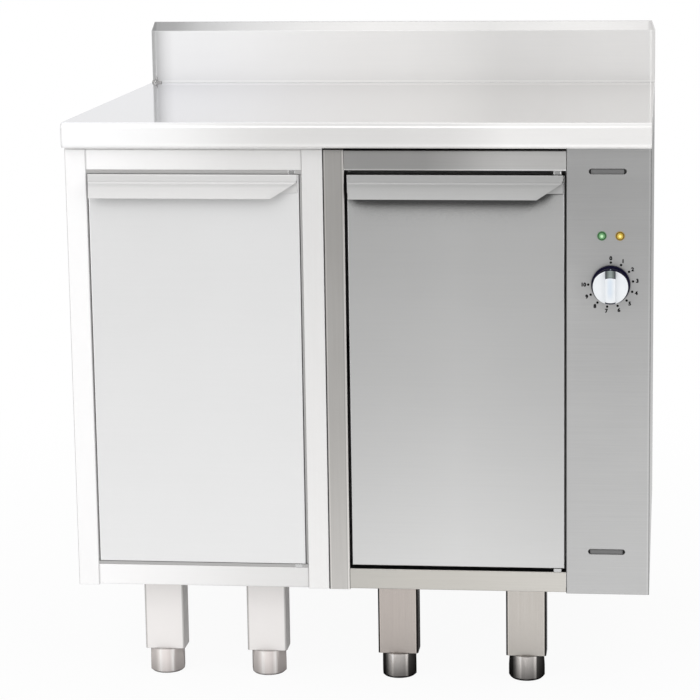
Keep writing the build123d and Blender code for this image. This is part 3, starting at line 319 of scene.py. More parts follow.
wear(leg_steel, "leg_tubes")

# Carcass sheet. Floors, backs, sides, partition and shelf are 1.5 mm stainless with the plain mill finish,
# folded and spot-welded between the front frames and the worktop.

inner_steel = steel(
    "inner_steel", (0.50, 0.50, 0.495), (0.60, 0.60, 0.595), (0.78, 0.78, 0.77), 0.8, 0.36, (9.0, 9.0, 500.0)
)
wear(
    inner_steel, "leg_plates", "cupboard_floor", "hot_floor", "cupboard_back", "hot_back",
    "cupboard_side_panels", "hot_side_panels", "control_partition", "cupboard_shelf", "shelf_rails",
)

# Front frames. Posts and rails of folded stainless sheet, posts grained upwards and rails sideways,
# butted and welded at the corners with the welds dressed flush. The cupboard's frame is the paler one.


def grid_faces(rows, columns):
    """Quads between the neighbours of a rows x columns grid of points, numbered row by row."""
    corner = (np.arange(rows - 1)[:, None] * columns + np.arange(columns - 1)).ravel()
    return np.stack([corner, corner + 1, corner + columns + 1, corner + columns], axis=1)


def surface_mesh(name, grids, caps=()):
    """One closed mesh from grids of points [rows, columns, 3]. A cap is a flat loop of points [n, 3]."""
    points, faces, start = [], [], 0
    for grid in grids:
        rows, columns = grid.shape[:2]
        points.append(grid.reshape(-1, 3))
        faces.extend((grid_faces(rows, columns) + start).tolist())
        start += rows * columns
    for cap in caps:
        points.append(cap)
        faces.append((np.arange(len(cap)) + start).tolist())
        start += len(cap)
    mesh = bpy.data.meshes.new(name)
    mesh.from_pydata(np.concatenate(points).tolist(), [], faces)
    shell = bmesh.new()
    shell.from_mesh(mesh)
    bmesh.ops.remove_doubles(shell, verts=shell.verts, dist=1e-6)
    bmesh.ops.recalc_face_normals(shell, faces=shell.faces)
    shell.to_mesh(mesh)
    shell.free()
    mesh.validate()
    return mesh


def add_piece(name, mesh, material, body, replaced=(), sharp=32.0):
    """Puts a mesh in the scene, smooth but for edges over an angle, ties it to its body and hides the nodes
    it replaces.
    """
    piece = bpy.data.objects.new(name, mesh)
    bpy.context.scene.collection.objects.link(piece)
    mesh.shade_smooth()
    mesh.set_sharp_from_angle(angle=math.radians(sharp))
    mesh.materials.append(material)
    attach(piece, body)
    if replaced:
        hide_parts(*replaced)


def round_corners(points, radii, steps=5):
    """Replaces each corner of a closed outline by an arc: tangent length r / tan(half the corner's angle)."""
    points = np.asarray(points, float)
    radii = np.asarray(radii, float)
    back = np.roll(points, 1, axis=0) - points
    on = np.roll(points, -1, axis=0) - points
    back /= np.linalg.norm(back, axis=1)[:, None]
    on /= np.linalg.norm(on, axis=1)[:, None]
    half = np.arccos(np.clip((back * on).sum(1), -1.0, 1.0)) / 2
    middle = back + on
    middle /= np.linalg.norm(middle, axis=1)[:, None]
    centre = points + middle * (radii / np.sin(half))[:, None]
    start = points + back * (radii / np.tan(half))[:, None] - centre
    end = points + on * (radii / np.tan(half))[:, None] - centre
    share = np.linspace(0.0, 1.0, steps)
    sweep = (math.pi - 2 * half)[:, None]
    first = np.sin((1 - share)[None, :] * sweep) / np.sin(sweep)
    last = np.sin(share[None, :] * sweep) / np.sin(sweep)
    arcs = centre[:, None, :] + first[..., None] * start[:, None, :] + last[..., None] * end[:, None, :]
    return arcs.reshape(-1, 2)


def along_x(outline, left, right, stations=24):
    """Carries a closed (y, z) outline along X. Left and right are x values, or arrays of one x per point."""
    around = np.append(np.arange(len(outline)), 0)
    ring = outline[around]
    left = np.broadcast_to(left, len(outline))[around]
    right = np.broadcast_to(right, len(outline))[around]
    share = np.linspace(0.0, 1.0, stations)[:, None]
    x = left * (1 - share) + right * share
    y = np.broadcast_to(ring[:, 0], x.shape)
    z = np.broadcast_to(ring[:, 1], x.shape)
    grid = np.stack([x, y, z], axis=2)
    return grid, (grid[0, :-1], grid[-1, :-1])


OPEN = (0.03, 0.0, 1.0, 1.0)
# UNDER_NOSING is a close shade that paints a dark line into the heated frame's colour under the worktop's
# nosing and in its gaps.
UNDER_NOSING = (0.03, 0.40, 0.72, 0.02)
GRAIN_UP, GRAIN_ACROSS = (420.0, 420.0, 8.0), (8.0, 420.0, 420.0)
PALE_TONES = ((0.83, 0.82, 0.81), (0.90, 0.895, 0.89), (0.97, 0.965, 0.96))
PALE_LEFT = ((0.97, 0.965, 0.965), 0.05, -0.45, -0.14)
POST_SPAN, POST_HEIGHT, MIDDLE_HEIGHT = (-0.0495, -0.0170), (0.16, 0.86), (0.4, 0.6)
RAIL_SPAN, TOP_RAIL_HEIGHT = (-0.017, 0.319), (0.8256, 0.8570)
PALE_RAIL_SPAN, PALE_POST_SIDE, PALE_POST_TURN = (-0.4175, -0.0825), (-0.4500, -0.4460), (-0.3, -0.2)
# Painted light and shade on the frames: the heated post has a dark band at its left edge and light lines
# inside both edges, with a darker line just inside the right one, and grows lighter towards the floor; the
# top rail is lighter towards its right and along its lower edge, and the bottom rail lighter and warmer
# towards its right; the cupboard's left post is darker at its outer edge, its right post lighter towards the
# floor, and its rails darker at their ends.
POST_EDGE_LIGHTS = (
    (0.0, 0.16), (0.035, 0.16), (0.055, 1.32), (0.095, 1.20), (0.12, 1.0), (0.84, 1.0), (0.86, 0.86),
    (0.89, 0.86), (0.91, 1.42), (0.96, 1.32), (1.0, 1.20),
)
GREY_POST_LIGHT_RISE = ((0.0, 1.18), (0.15, 1.12), (0.4, 1.0), (1.0, 0.97))
HIGH_RAIL_LIGHT = ((0.0, 0.78), (0.37, 0.78), (0.5, 0.94), (0.64, 1.17), (0.76, 1.27), (1.0, 1.25))
LOW_RAIL_LIGHT = ((0.0, (1.04, 1.02, 0.97)), (0.3, (1.12, 1.09, 1.03)), (1.0, (1.25, 1.22, 1.16)))
RAIL_EDGE_HIGHLIGHT = ((0.0, 1.0), (0.01, 1.50), (0.055, 1.50), (0.085, 1.0), (1.0, 1.0))
PALE_POST_EDGE_SHADE = ((0.0, 0.60), (0.25, 0.60), (0.40, 1.0), (1.0, 1.0))
PALE_POST_LIGHT_RISE = ((0.0, 1.06), (0.35, 1.0), (0.65, 0.94), (1.0, 0.925))
PALE_RAIL_END_SHADE = ((0.0, 0.70), (0.0035, 0.70), (0.006, 1.02), (0.5, 1.0), (0.99, 0.93), (1.0, 0.80))
pale_post = steel("pale_post", *PALE_TONES, 0.22, 0.33, GRAIN_UP, shade=OPEN, left=PALE_LEFT)
pale_rail = steel("pale_rail", *PALE_TONES, 0.22, 0.33, GRAIN_ACROSS, shade=OPEN, left=PALE_LEFT)
grey_post = steel(
    "grey_post", (0.48, 0.465, 0.445), (0.62, 0.605, 0.585), (0.86, 0.85, 0.83), 0.8, 0.34, GRAIN_UP,
    radius=0.0008, shade=UNDER_NOSING, edge_dulling=0.6,
)
grey_rail = steel(
    "grey_rail", (0.53, 0.525, 0.515), (0.66, 0.655, 0.645), (0.72, 0.715, 0.70), 0.8, 0.34, GRAIN_ACROSS,
    radius=0.0008, shade=UNDER_NOSING, edge_dulling=0.6,
)
tone_along(grey_post, "X", *POST_SPAN, POST_EDGE_LIGHTS)
tone_along(grey_post, "Z", *POST_HEIGHT, GREY_POST_LIGHT_RISE)
high_rail = place_ramp(grey_rail, "Z", *MIDDLE_HEIGHT, RISING)
low_rail = place_ramp(grey_rail, "Z", *MIDDLE_HEIGHT, FALLING)
right_post = place_ramp(pale_post, "X", *PALE_POST_TURN, RISING)
tone_along(grey_rail, "X", *RAIL_SPAN, HIGH_RAIL_LIGHT, high_rail)
tone_along(grey_rail, "X", *RAIL_SPAN, LOW_RAIL_LIGHT, low_rail)
tone_along(grey_rail, "Z", *TOP_RAIL_HEIGHT, RAIL_EDGE_HIGHLIGHT)
tone_along(pale_post, "X", *PALE_POST_SIDE, PALE_POST_EDGE_SHADE)
tone_along(pale_post, "Z", *POST_HEIGHT, PALE_POST_LIGHT_RISE, right_post)
tone_along(pale_rail, "X", *PALE_RAIL_SPAN, PALE_RAIL_END_SHADE)
wear(pale_post, "cupboard_posts")
wear(pale_rail, "cupboard_rails")
wear(grey_post, "hot_post")
wear(grey_rail, "hot_rails")

FRONT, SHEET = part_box("hot_post")[0].y, 0.0015
POST_GAP, DOOR_HIGH, DOOR_LOW = (-0.4174, -0.0828), 0.8197, 0.2031
REBATE_BARS = {
    "top": (*POST_GAP, DOOR_HIGH, 0.8255),
    "bottom": (*POST_GAP, 0.1981, DOOR_LOW),
    "free": (POST_GAP[0], -0.4161, DOOR_LOW, DOOR_HIGH),
    "hinge": (-0.0859, POST_GAP[1], DOOR_LOW, DOOR_HIGH),
    "crown": (-0.4498, -0.0503, 0.8573, 0.8607),
}
UPRIGHT_BEHIND, LEVEL_BEHIND, BAR_THICKNESS, BAR_EDGE = 0.0028, 0.0010, 0.0007, 0.0002
# Painted light: the crown bar under the nosing is painted 1.75 times lighter, against the nosing's shadow
# that falls on it.
CROWN_HEIGHT, CROWN_PAINTED_LIGHT = (0.82, 0.86), ((0.0, 1.0), (0.80, 1.0), (0.90, 1.75), (1.0, 1.75))
pale_rebate = steel(
    "pale_rebate", (0.42, 0.415, 0.41), (0.50, 0.495, 0.49), (0.54, 0.535, 0.53), 0.2, 0.4, GRAIN_ACROSS,
    shade=OPEN,
)
tone_along(pale_rebate, "Z", *CROWN_HEIGHT, CROWN_PAINTED_LIGHT)
bars, ends = [], []
for bar_left, bar_right, bar_low, bar_high in REBATE_BARS.values():
    face = FRONT + (UPRIGHT_BEHIND if bar_high == DOOR_HIGH else LEVEL_BEHIND)
    back = face + BAR_THICKNESS
    corners = [(face, bar_low), (face, bar_high), (back, bar_high), (back, bar_low)]
    bar_grid, bar_ends = along_x(round_corners(corners, [BAR_EDGE] * 4, 3), bar_left, bar_right, 12)
    bars.append(bar_grid)
    ends.extend(bar_ends)
rebate_mesh = surface_mesh("cupboard_rebate", bars, ends)
add_piece("cupboard_rebate", rebate_mesh, pale_rebate, "cabinet")

# Heated chamber. A bright stainless liner with slotted uprights and two wire plate shelves, wrapped in
# mineral wool, with a tubular element under a pierced cover in the floor.

liner_steel = steel(
    "liner_steel", (0.56, 0.56, 0.555), (0.68, 0.68, 0.675), (0.85, 0.85, 0.84), 0.9, 0.21, GRAIN_ACROSS
)
element_steel = steel(
    "element_steel", (0.10, 0.085, 0.075), (0.20, 0.17, 0.15), (0.34, 0.31, 0.29), 0.7, 0.5,
    (160.0, 160.0, 160.0),
)
copper = steel(
    "copper", (0.58, 0.27, 0.15), (0.76, 0.40, 0.25), (0.88, 0.55, 0.38), 0.95, 0.32, (200.0, 60.0, 200.0)
)
FIBRE_DRIFT = (24.0, 24.0, 24.0)


def fibre(name, dark, light, scale):
    """Matted fibre: two layers of fine noise, one for the tone and one for the relief."""
    material, tree, shader = new_material(name)
    directions = {"Stretch": (scale,) * 3, "Drift Scale": FIBRE_DRIFT}
    grain = add_node(tree, "Group", directions, node_tree=GRAIN).outputs
    relief = add_node(tree, "Bump", {"Strength": 0.6, "Distance": 0.002, "Height": grain["Grain"]})
    surface = {
        "Base Color": mix_colour(tree, dark, light, grain["Drift"]),
        "Roughness": 0.95,
        "Normal": relief.outputs["Normal"],
    }
    feed(tree, shader, surface)
    return material


mineral_wool = fibre("mineral_wool", (0.38, 0.33, 0.20), (0.62, 0.56, 0.38), 420.0)
wear(liner_steel, "chamber_liner", "shelf_uprights", "plate_shelves", "element_cover")
wear(element_steel, "heating_element")
wear(copper, "sensing_bulb")
wear(mineral_wool, "chamber_insulation", "right_door_core")

# Electrical compartment. Thermostat, cut-out, lamp bodies, terminal block and wiring of moulded black
# plastic on a folded bracket behind the control panel.

GLOSS_SPREAD, MOULDED_EDGE = 0.06, 0.0003


def moulded(name, dark, light, roughness, coat=0.0, scale=260.0, shine=0.5):
    """Moulded plastic: a fine spark-eroded texture, tone and gloss drifting slowly, edges rounded over."""
    material, tree, shader = new_material(name)
    directions = {"Stretch": (scale * 8,) * 3, "Drift Scale": (scale / 4,) * 3}
    grain = add_node(tree, "Group", directions, node_tree=GRAIN).outputs
    rounded = add_node(tree, "Group", {"Radius": MOULDED_EDGE}, node_tree=EDGES).outputs["Rounded Normal"]
    spread = {"To Min": roughness - GLOSS_SPREAD, "To Max": roughness + GLOSS_SPREAD}
    gloss = add_node(tree, "MapRange", {"Value": grain["Drift"], **spread})
    texture = {"Strength": 0.05, "Distance": 0.0002, "Height": grain["Grain"], "Normal": rounded}
    surface = {
        "Base Color": mix_colour(tree, dark, light, grain["Drift"]),
        "Roughness": gloss.outputs["Result"],
        "Normal": add_node(tree, "Bump", texture).outputs["Normal"],
        "Coat Weight": coat,
        "Specular IOR Level": shine,
    }
    feed(tree, shader, surface)
    return material


black_plastic = moulded("black_plastic", (0.012, 0.012, 0.013), (0.022, 0.022, 0.024), 0.42)
wear(
    black_plastic, "thermostat", "lamp_bodies", "terminal_block", "wiring_loom", "safety_cutout",
    "door_magnets",
)
wear(inner_steel, "control_bracket")

# Control panel. One folded stainless sheet down the right of the front, grained sideways, with two
# louvre slots that have a plate close behind them.

PANEL_GRAIN, PANEL_SPAN, PANEL_HEIGHT = (7.0, 380.0, 620.0), (0.3214, 0.4500), (0.164, 0.857)
# Painted light and shade on the panel: dark lines down its left and right borders and a dark edge tone are
# painted shade, a strip just inside its right edge is a painted highlight, and its upper part is painted
# darker. Its close shade, with a tiny reach, paints a thin dark line where it meets other parts.
PANEL_EDGE_LIGHT_AND_SHADE = (
    (0.0, 0.5), (0.007, 0.5), (0.013, 1.0), (0.968, 1.0), (0.975, 1.16), (0.984, 1.16), (0.990, 0.55),
    (1.0, 0.55),
)
PANEL_UPPER_SHADE = ((0.0, 1.0), (0.70, 1.0), (0.82, 0.90), (0.93, 0.88), (1.0, 0.94))
panel_steel = steel(
    "panel_steel", (0.53, 0.53, 0.53), (0.69, 0.69, 0.685), (0.30, 0.30, 0.30), 0.75, 0.33, PANEL_GRAIN,
    radius=0.0012, shade=(0.004, 0.3, 0.8, 0.4),
)
tone_along(panel_steel, "X", *PANEL_SPAN, PANEL_EDGE_LIGHT_AND_SHADE)
tone_along(panel_steel, "Z", *PANEL_HEIGHT, PANEL_UPPER_SHADE)
slot_steel = steel(
    "slot_steel", (0.30, 0.30, 0.295), (0.40, 0.40, 0.395), (0.60, 0.60, 0.59), 0.7, 0.45, PANEL_GRAIN
)
# Painted shade: the louvre plates are given a dark tone, and no close shade, for the shade inside the slots.
louvre_shaded_steel = steel(
    "louvre_shaded_steel", (0.165, 0.165, 0.165), (0.225, 0.225, 0.225), (0.26, 0.26, 0.26), 0.3, 0.45, PANEL_GRAIN,
    shade=OPEN,
)
wear(panel_steel, "control_panel")
wear(slot_steel, "slot_baffles")
SLOTS = ((0.384, 0.232), (0.384, 0.8252))
LOUVRE_SPAN, LOUVRE_HALF, LOUVRE_BEHIND, LOUVRE_DROP = (-0.0253, 0.0246), 0.0056, 0.0019, 0.0020
LOUVRE_BOW = LOUVRE_THICKNESS = 0.0008
rise = np.linspace(-1.0, 1.0, 9)
crown = FRONT + LOUVRE_BEHIND + LOUVRE_BOW * rise**2
louvres, ends = [], []
for slot_x, slot_z in SLOTS:
    height = slot_z - LOUVRE_DROP + LOUVRE_HALF * rise
    front_face = np.stack([crown, height], axis=1)
    back_face = np.stack([crown + LOUVRE_THICKNESS, height], axis=1)[::-1]
    section = np.concatenate([front_face, back_face])
    louvre, louvre_ends = along_x(section, slot_x + LOUVRE_SPAN[0], slot_x + LOUVRE_SPAN[1], 16)
    louvres.append(louvre)
    ends.extend(louvre_ends)
louvre_mesh = surface_mesh("slot_louvres", louvres, ends)
add_piece("slot_louvres", louvre_mesh, louvre_shaded_steel, "cabinet")

# Dial scale. Eleven dots and the numbers 0 to 10 round the knob, screen-printed in black on the panel
# and 27 degrees apart, with 0 at the top.


def middle_of(name):
    """The x and z of the middle of a node's box."""
    low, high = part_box(name)
    return (low.x + high.x) / 2, (low.z + high.z) / 2


def vertex_places(mesh):
    """The places of a mesh's vertices, one row each."""
    flat = np.empty(len(mesh.vertices) * 3)
    mesh.vertices.foreach_get("co", flat)
    return flat.reshape(-1, 3)


KNOB = middle_of("knob_skirt")
DOT_RING, NUMBER_RING, DOT_RADIUS, INK, MARK_STEP = 0.0342, 0.0408, 0.0019, 0.00008, 27.0
NUMBER_HEIGHT, DIGIT_SHARE, STROKE_SHARE = 0.0054, 0.69, 0.036
BOLD = ((-0.00032, -0.00018), (0.00032, -0.00018), (0.0, 0.00034))


def lathe(profile, centre, steps=64):
    """Turns a profile of (radius, y) points about a line along Y: x and z go round each radius's circle."""
    turn = np.linspace(0.0, 2 * math.pi, steps + 1)
    radius, depth = np.asarray(profile, float).T
    x = centre[0] + radius[:, None] * np.sin(turn)
    z = centre[1] + radius[:, None] * np.cos(turn)
    y = np.repeat(depth[:, None], steps + 1, axis=1)
    return np.stack([x, y, z], axis=2)


def number_mesh(text, centre, height):
    """A number of the built-in font as a thin plate, its middle at the given place on the panel."""
    curve = bpy.data.curves.new("number_" + text, "FONT")
    curve.body = text
    curve.size = height / DIGIT_SHARE
    curve.extrude = INK / 2
    curve.offset = height * STROKE_SHARE
    holder = bpy.data.objects.new("number_" + text, curve)
    bpy.context.scene.collection.objects.link(holder)
    bpy.context.view_layer.update()
    mesh = bpy.data.meshes.new_from_object(holder)
    bpy.data.objects.remove(holder)
    flat = vertex_places(mesh)
    middle = (flat.min(0) + flat.max(0)) / 2
    x = centre[0] + flat[:, 0] - middle[0]
    z = centre[1] + flat[:, 1] - middle[1]
    placed = np.stack([x, FRONT - INK / 2 - flat[:, 2], z], axis=1)
    mesh.vertices.foreach_set("co", placed.ravel())
    return mesh


ink_marks = bmesh.new()
dot_profile = [(0.0, FRONT), (DOT_RADIUS, FRONT), (DOT_RADIUS, FRONT - INK), (0.0, FRONT - INK)]
for number in range(11):
    angle = math.radians(MARK_STEP * number)
    across, up = math.sin(angle), math.cos(angle)
    dot_centre = (KNOB[0] + DOT_RING * across, KNOB[1] + DOT_RING * up)
    ink_marks.from_mesh(surface_mesh("dot", [lathe(dot_profile, dot_centre, 20)]))
    for aside, above in BOLD:
        number_centre = (KNOB[0] + NUMBER_RING * across + aside, KNOB[1] + NUMBER_RING * up + above)
        ink_marks.from_mesh(number_mesh(str(number), number_centre, NUMBER_HEIGHT))
dial_mesh = bpy.data.meshes.new("dial_scale")
ink_marks.to_mesh(dial_mesh)
ink_marks.free()
ink = moulded("panel_ink", (0.003, 0.003, 0.003), (0.006, 0.006, 0.006), 0.6, shine=0.1)
add_piece("dial_scale", dial_mesh, ink, "cabinet")

# Signal lamps. A green and a yellow lens of clear-coloured plastic, each a flange and a low dome with
# a bright middle, snapped into the panel over its neon lamp.


def lens(name, rim, glass, heart):
    """Coloured lens: from its own middle outwards, rings of the lit heart, the glass and the rim tone."""
    material, tree, shader = new_material(name)
    middle = add_node(tree, "Attribute", attribute_name="from_middle").outputs["Fac"]
    rings = (
        (0.0, heart), (0.22, heart), (0.42, glass), (0.62, glass), (0.74, rim), (0.86, rim), (1.0, glass),
    )
    ring_tone = level_ramp(material, middle, rings)
    feed(tree, shader, {"Base Color": ring_tone, "Emission Color": ring_tone, "Emission Strength": 0.14})
    feed(tree, shader, {"Roughness": 0.16, "Coat Weight": 0.6, "Coat Roughness": 0.05})
    return material


LAMP_RADIUS = 0.0070
lamp_profile = np.array(
    [
        (0.0, 0.0), (7.0, 0.0), (7.0, -0.9), (6.8, -1.2), (6.1, -1.2), (5.7, -1.0), (5.5, -1.2), (5.3, -2.2),
        (4.8, -3.3), (4.0, -4.1), (2.9, -4.6), (1.5, -4.8), (0.0, -4.8),
    ]
) / 1000 + np.array([0.0, FRONT])
lamp_lenses = {
    "green": lens("green_lens", (0.025, 0.10, 0.03), (0.10, 0.30, 0.11), (0.50, 0.78, 0.46)),
    "yellow": lens("yellow_lens", (0.16, 0.09, 0.008), (0.55, 0.36, 0.02), (1.0, 0.86, 0.25)),
}
for colour, lamp_material in lamp_lenses.items():
    piece_name, node_name = f"signal_lens_{colour}", f"lamp_lens_{colour}"
    lamp_x, lamp_z = middle_of(node_name)
    lamp_mesh = surface_mesh(piece_name, [lathe(lamp_profile, (lamp_x, lamp_z), 48)])
    spots = vertex_places(lamp_mesh)
    out = np.hypot(spots[:, 0] - lamp_x, spots[:, 2] - lamp_z) / LAMP_RADIUS
    lamp_mesh.attributes.new("from_middle", "FLOAT", "POINT").data.foreach_set("value", out)
    add_piece(piece_name, lamp_mesh, lamp_material, "cabinet", (node_name,))

# Thermostat knob. A navy skirt and body with a marker dot, a white moulded face plate and finger-bar cover
# let into it, and a grey-green window in the bar's upper end, all pushed on the steel spindle.


def close_gaps(material, least=0.06, where=1.0):
    """Paints shade into a finish's colour inside the narrow gaps round a door, where little sky is open
    within 10 mm.
    """
    inputs = dict(zip(SHADE_INPUTS, (0.010, 0.36, 0.62, least)))
    gaps = add_node(material.node_tree, "Group", inputs, node_tree=SHADE)
    multiply_tone(material, gaps.outputs["Open"], where)


bright_steel = steel(
    "bright_steel", (0.60, 0.60, 0.60), (0.72, 0.72, 0.72), (0.9, 0.9, 0.9), 0.95, 0.2, (60.0, 60.0, 700.0)
)
# Painted gap shade, only in the lower part of the height, where it darkens the bottom hinge pins and bushes
# in their gap.
close_gaps(bright_steel, 0.08, place_ramp(bright_steel, "Z", *MIDDLE_HEIGHT, FALLING))
navy_plastic = moulded("navy_plastic", (0.003, 0.002, 0.016), (0.006, 0.005, 0.028), 0.42, shine=0.06)
white_plastic = moulded("white_plastic", (0.80, 0.83, 0.86), (0.88, 0.90, 0.92), 0.30, 0.15)
grey_plastic = moulded("grey_plastic", (0.16, 0.19, 0.18), (0.27, 0.31, 0.30), 0.35, 0.2)
dot_plastic = moulded("dot_plastic", (0.28, 0.33, 0.42), (0.36, 0.41, 0.50), 0.5)
BAR_HALF, WINDOW_HALF, BAR_HEIGHT = 0.0062, 0.0068, (KNOB[1] - 0.022, KNOB[1] + 0.015)
BAR_RISE = ((0.0, 0.0), (0.35, 1.0), (0.85, 1.0), (1.0, 0.4))
# Painted reflection: a blue-grey band down the middle of the finger bar's cover. Painted light and shade: the
# window darker at its sides and lighter in its middle.
BAR_REFLECTION = (
    (0.0, 1.0), (0.30, (0.86, 0.91, 0.97)), (0.55, (0.83, 0.89, 0.96)), (0.75, (0.90, 0.94, 0.98)),
    (1.0, 1.0),
)
WINDOW_LIGHT_AND_SHADE = ((0.0, 0.30), (0.16, 0.55), (0.40, 1.15), (0.60, 1.15), (0.84, 0.55), (1.0, 0.30))
on_bar = place_ramp(white_plastic, "Z", *BAR_HEIGHT, BAR_RISE)
tone_along(white_plastic, "X", KNOB[0] - BAR_HALF, KNOB[0] + BAR_HALF, BAR_REFLECTION, on_bar)
tone_along(grey_plastic, "X", KNOB[0] - WINDOW_HALF, KNOB[0] + WINDOW_HALF, WINDOW_LIGHT_AND_SHADE)
wear(bright_steel, "knob_spindle", "left_door_pins", "right_door_pins", "hinge_bushes")


def shaped_disc(rows, centre, outline):
    """A closed disc facing forward: each row is (share, inset, y), its radius share x outline - inset."""
    turn = np.linspace(0.0, 2 * math.pi, len(outline))
    share, inset, depth = np.asarray(rows, float).T
    radius = np.maximum(share[:, None] * outline - inset[:, None], 0.0)
    x = centre[0] + radius * np.sin(turn)
    z = centre[1] + radius * np.cos(turn)
    return np.stack([x, np.repeat(depth[:, None], len(outline), axis=1), z], axis=2)


def finger_bar(half, low, high, front, back, edge, crown):
    """A bar standing forward: width 2 x half, ends low(x) and high(x), quarter-round edges, and a front face
    that falls back by crown x (x / half) squared. Returns its grid and the loop that closes its back."""
    arc = np.linspace(0.0, math.pi / 2, 6)
    inset = np.concatenate([[0.0], edge * (1 - np.cos(arc))])
    lean = np.concatenate([[edge], edge * np.cos(arc)])
    middle = np.linspace(0.0, 1.0, 9)[1:-1]
    x = np.concatenate([-half + inset, -half + edge + (2 * half - 2 * edge) * middle, half - inset[::-1]])
    lean_x = np.concatenate([lean, np.zeros(7), lean[::-1]])
    share = np.concatenate([np.zeros(7), middle, np.ones(7)])
    tuck = np.concatenate([inset, edge * (1 - 2 * middle), -inset[::-1]])
    lean_z = np.concatenate([lean, np.zeros(7), lean[::-1]])
    z = low(x)[:, None] * (1 - share) + high(x)[:, None] * share + tuck
    away = np.minimum(np.hypot(lean_x[:, None], lean_z[None, :]), edge)
    y = front + crown * (x[:, None] / half) ** 2 + edge - np.sqrt(edge**2 - away**2)
    y[[0, -1], :] = back
    y[:, [0, -1]] = back
    grid = np.stack([np.repeat(x[:, None], len(share), axis=1), y, z], axis=2)
    loop = np.concatenate([grid[0, :-1], grid[:-1, -1], grid[-1, :0:-1], grid[:0:-1, 0]])
    return grid, loop


def round_end(radius, side=1):
    """The upper or lower half of a circle: z is side x the root of radius squared less x squared."""
    return lambda x: side * np.sqrt(radius**2 - x**2)


def bowed_end(height):
    """A bowed end of the finger bar's cover: z falls from a height by 1.3 at the cover's sides."""
    return lambda x: height - 1.3 * (x / COVER_HALF) ** 2


def add_knob_piece(name, grids, caps, material, slot, *replaced):
    """Adds a piece of the knob from millimetres off the knob's axis and the panel's face."""
    place = np.array([KNOB[0], FRONT, KNOB[1]])
    mesh = surface_mesh(name, [grid / 1000 + place for grid in grids], [cap / 1000 + place for cap in caps])
    add_piece(name, mesh, material, "control_knob", replaced)


COVER_HALF, BODY_RADIUS, FACE_RADIUS, FACE_CUT, FACE_CUT_DROP, MARKER_Z = 7.75, 26.9, 26.7, 29.0, 4.0, 26.0
AXIS = (0.0, 0.0)
turn = np.linspace(0.0, 2 * math.pi, 97)
cut_round = np.sqrt(FACE_CUT**2 - (FACE_CUT_DROP * np.sin(turn)) ** 2) - FACE_CUT_DROP * np.cos(turn)
face_outline = np.minimum(FACE_RADIUS, cut_round)
skirt_profile = [
    (3.0, -1.0), (29.1, -1.0), (29.6, -1.2), (29.75, -1.7), (29.75, -2.6), (29.5, -3.4), (28.3, -6.4),
    (27.9, -6.8), (27.4, -7.0), (3.0, -7.0), (3.0, -1.0),
]
body_rows = [
    (0.0, 0.0, -7.05), (1.0, 0.0, -7.05), (1.0, 0.0, -18.8), (1.0, 0.25, -19.8), (1.0, 0.9, -20.35),
    (1.0, 1.6, -20.5), (0.0, 0.0, -20.5),
]
face_rows = [
    (0.0, 0.0, -20.2), (1.0, 0.0, -20.2), (1.0, 0.0, -20.6), (1.0, 0.12, -20.85), (1.0, 0.45, -21.0),
    (0.93, 0.0, -21.0), (0.8, 0.0, -20.95), (0.6, 0.0, -20.9), (0.0, 0.0, -20.9),
]
marker_profile = [(0.0, -19.0), (1.0, -19.0), (1.0, -20.62), (0.8, -20.72), (0.0, -20.75)]
body_disc = shaped_disc(body_rows, AXIS, np.full(len(turn), BODY_RADIUS))
face_disc = shaped_disc(face_rows, AXIS, face_outline)
core, core_back = finger_bar(
    half=7.7, low=round_end(25.95, -1), high=round_end(25.95), front=-25.6, back=-20.0, edge=1.2, crown=0.2
)
cover, cover_back = finger_bar(
    half=COVER_HALF, low=round_end(24.4, -1), high=bowed_end(14.7), front=-26.0, back=-20.5, edge=1.4,
    crown=0.25,
)
window, window_back = finger_bar(
    half=6.75, low=bowed_end(14.9), high=round_end(25.7), front=-25.95, back=-22.0, edge=0.5, crown=0.3
)
marker = lathe(marker_profile, (0.0, MARKER_Z), 24)
add_knob_piece("dial_skirt", [lathe(skirt_profile, AXIS, 96)], [], navy_plastic, "navy_plastic", "knob_skirt")
add_knob_piece("knob_body", [body_disc, core], [core_back], navy_plastic, "navy_plastic", "knob_cap")
add_knob_piece("knob_face", [face_disc, cover], [cover_back], white_plastic, "white_plastic")
add_knob_piece("knob_window", [window], [window_back], grey_plastic, "grey_plastic", "knob_pointer")
add_knob_piece("knob_marker", [marker], [], dot_plastic, "grey_plastic")

# Door hinges, doors and grips. Each door is a folded 1.5 mm stainless skin closed by a flat liner over a
# core, turning on pins in nylon-lined bushes. The grip is one folded strip welded along the top edge.

board = fibre("board", (0.42, 0.31, 0.19), (0.58, 0.45, 0.29), 240.0)
DOOR_GRAIN, DOOR_SPAN, DOOR_HEIGHT = (7.0, 380.0, 560.0), (-0.013, 0.319), (0.204, 0.819)
# Painted light and shade on the doors: the heated door is painted lighter down its middle and towards the
# floor, its close shade paints the grip's shadow below the lip, and its edges take painted gap shade; the
# cupboard door's close shade paints a milder shadow under its grip.
DOOR_LIGHT_ACROSS = ((0.0, 0.965), (0.5, 1.03), (1.0, 0.965))
DOOR_LIGHT_RISE = ((0.0, 1.09), (0.2, 1.04), (0.42, 0.99), (0.7, 0.97), (1.0, 1.0))
pale_door = steel(
    "pale_door", (0.86, 0.86, 0.86), (0.91, 0.91, 0.91), (0.97, 0.97, 0.965), 0.42, 0.34, DOOR_GRAIN,
    shade=(0.06, 0.44, 0.90, 0.66),
)
grey_door = steel(
    "grey_door", (0.70, 0.70, 0.695), (0.77, 0.77, 0.765), (0.90, 0.90, 0.89), 0.92, 0.34, DOOR_GRAIN,
    bump=0.02, radius=0.0012, shade=(0.06, 0.79, 0.885, 0.15), edge_dulling=0.7,
)
close_gaps(grey_door)
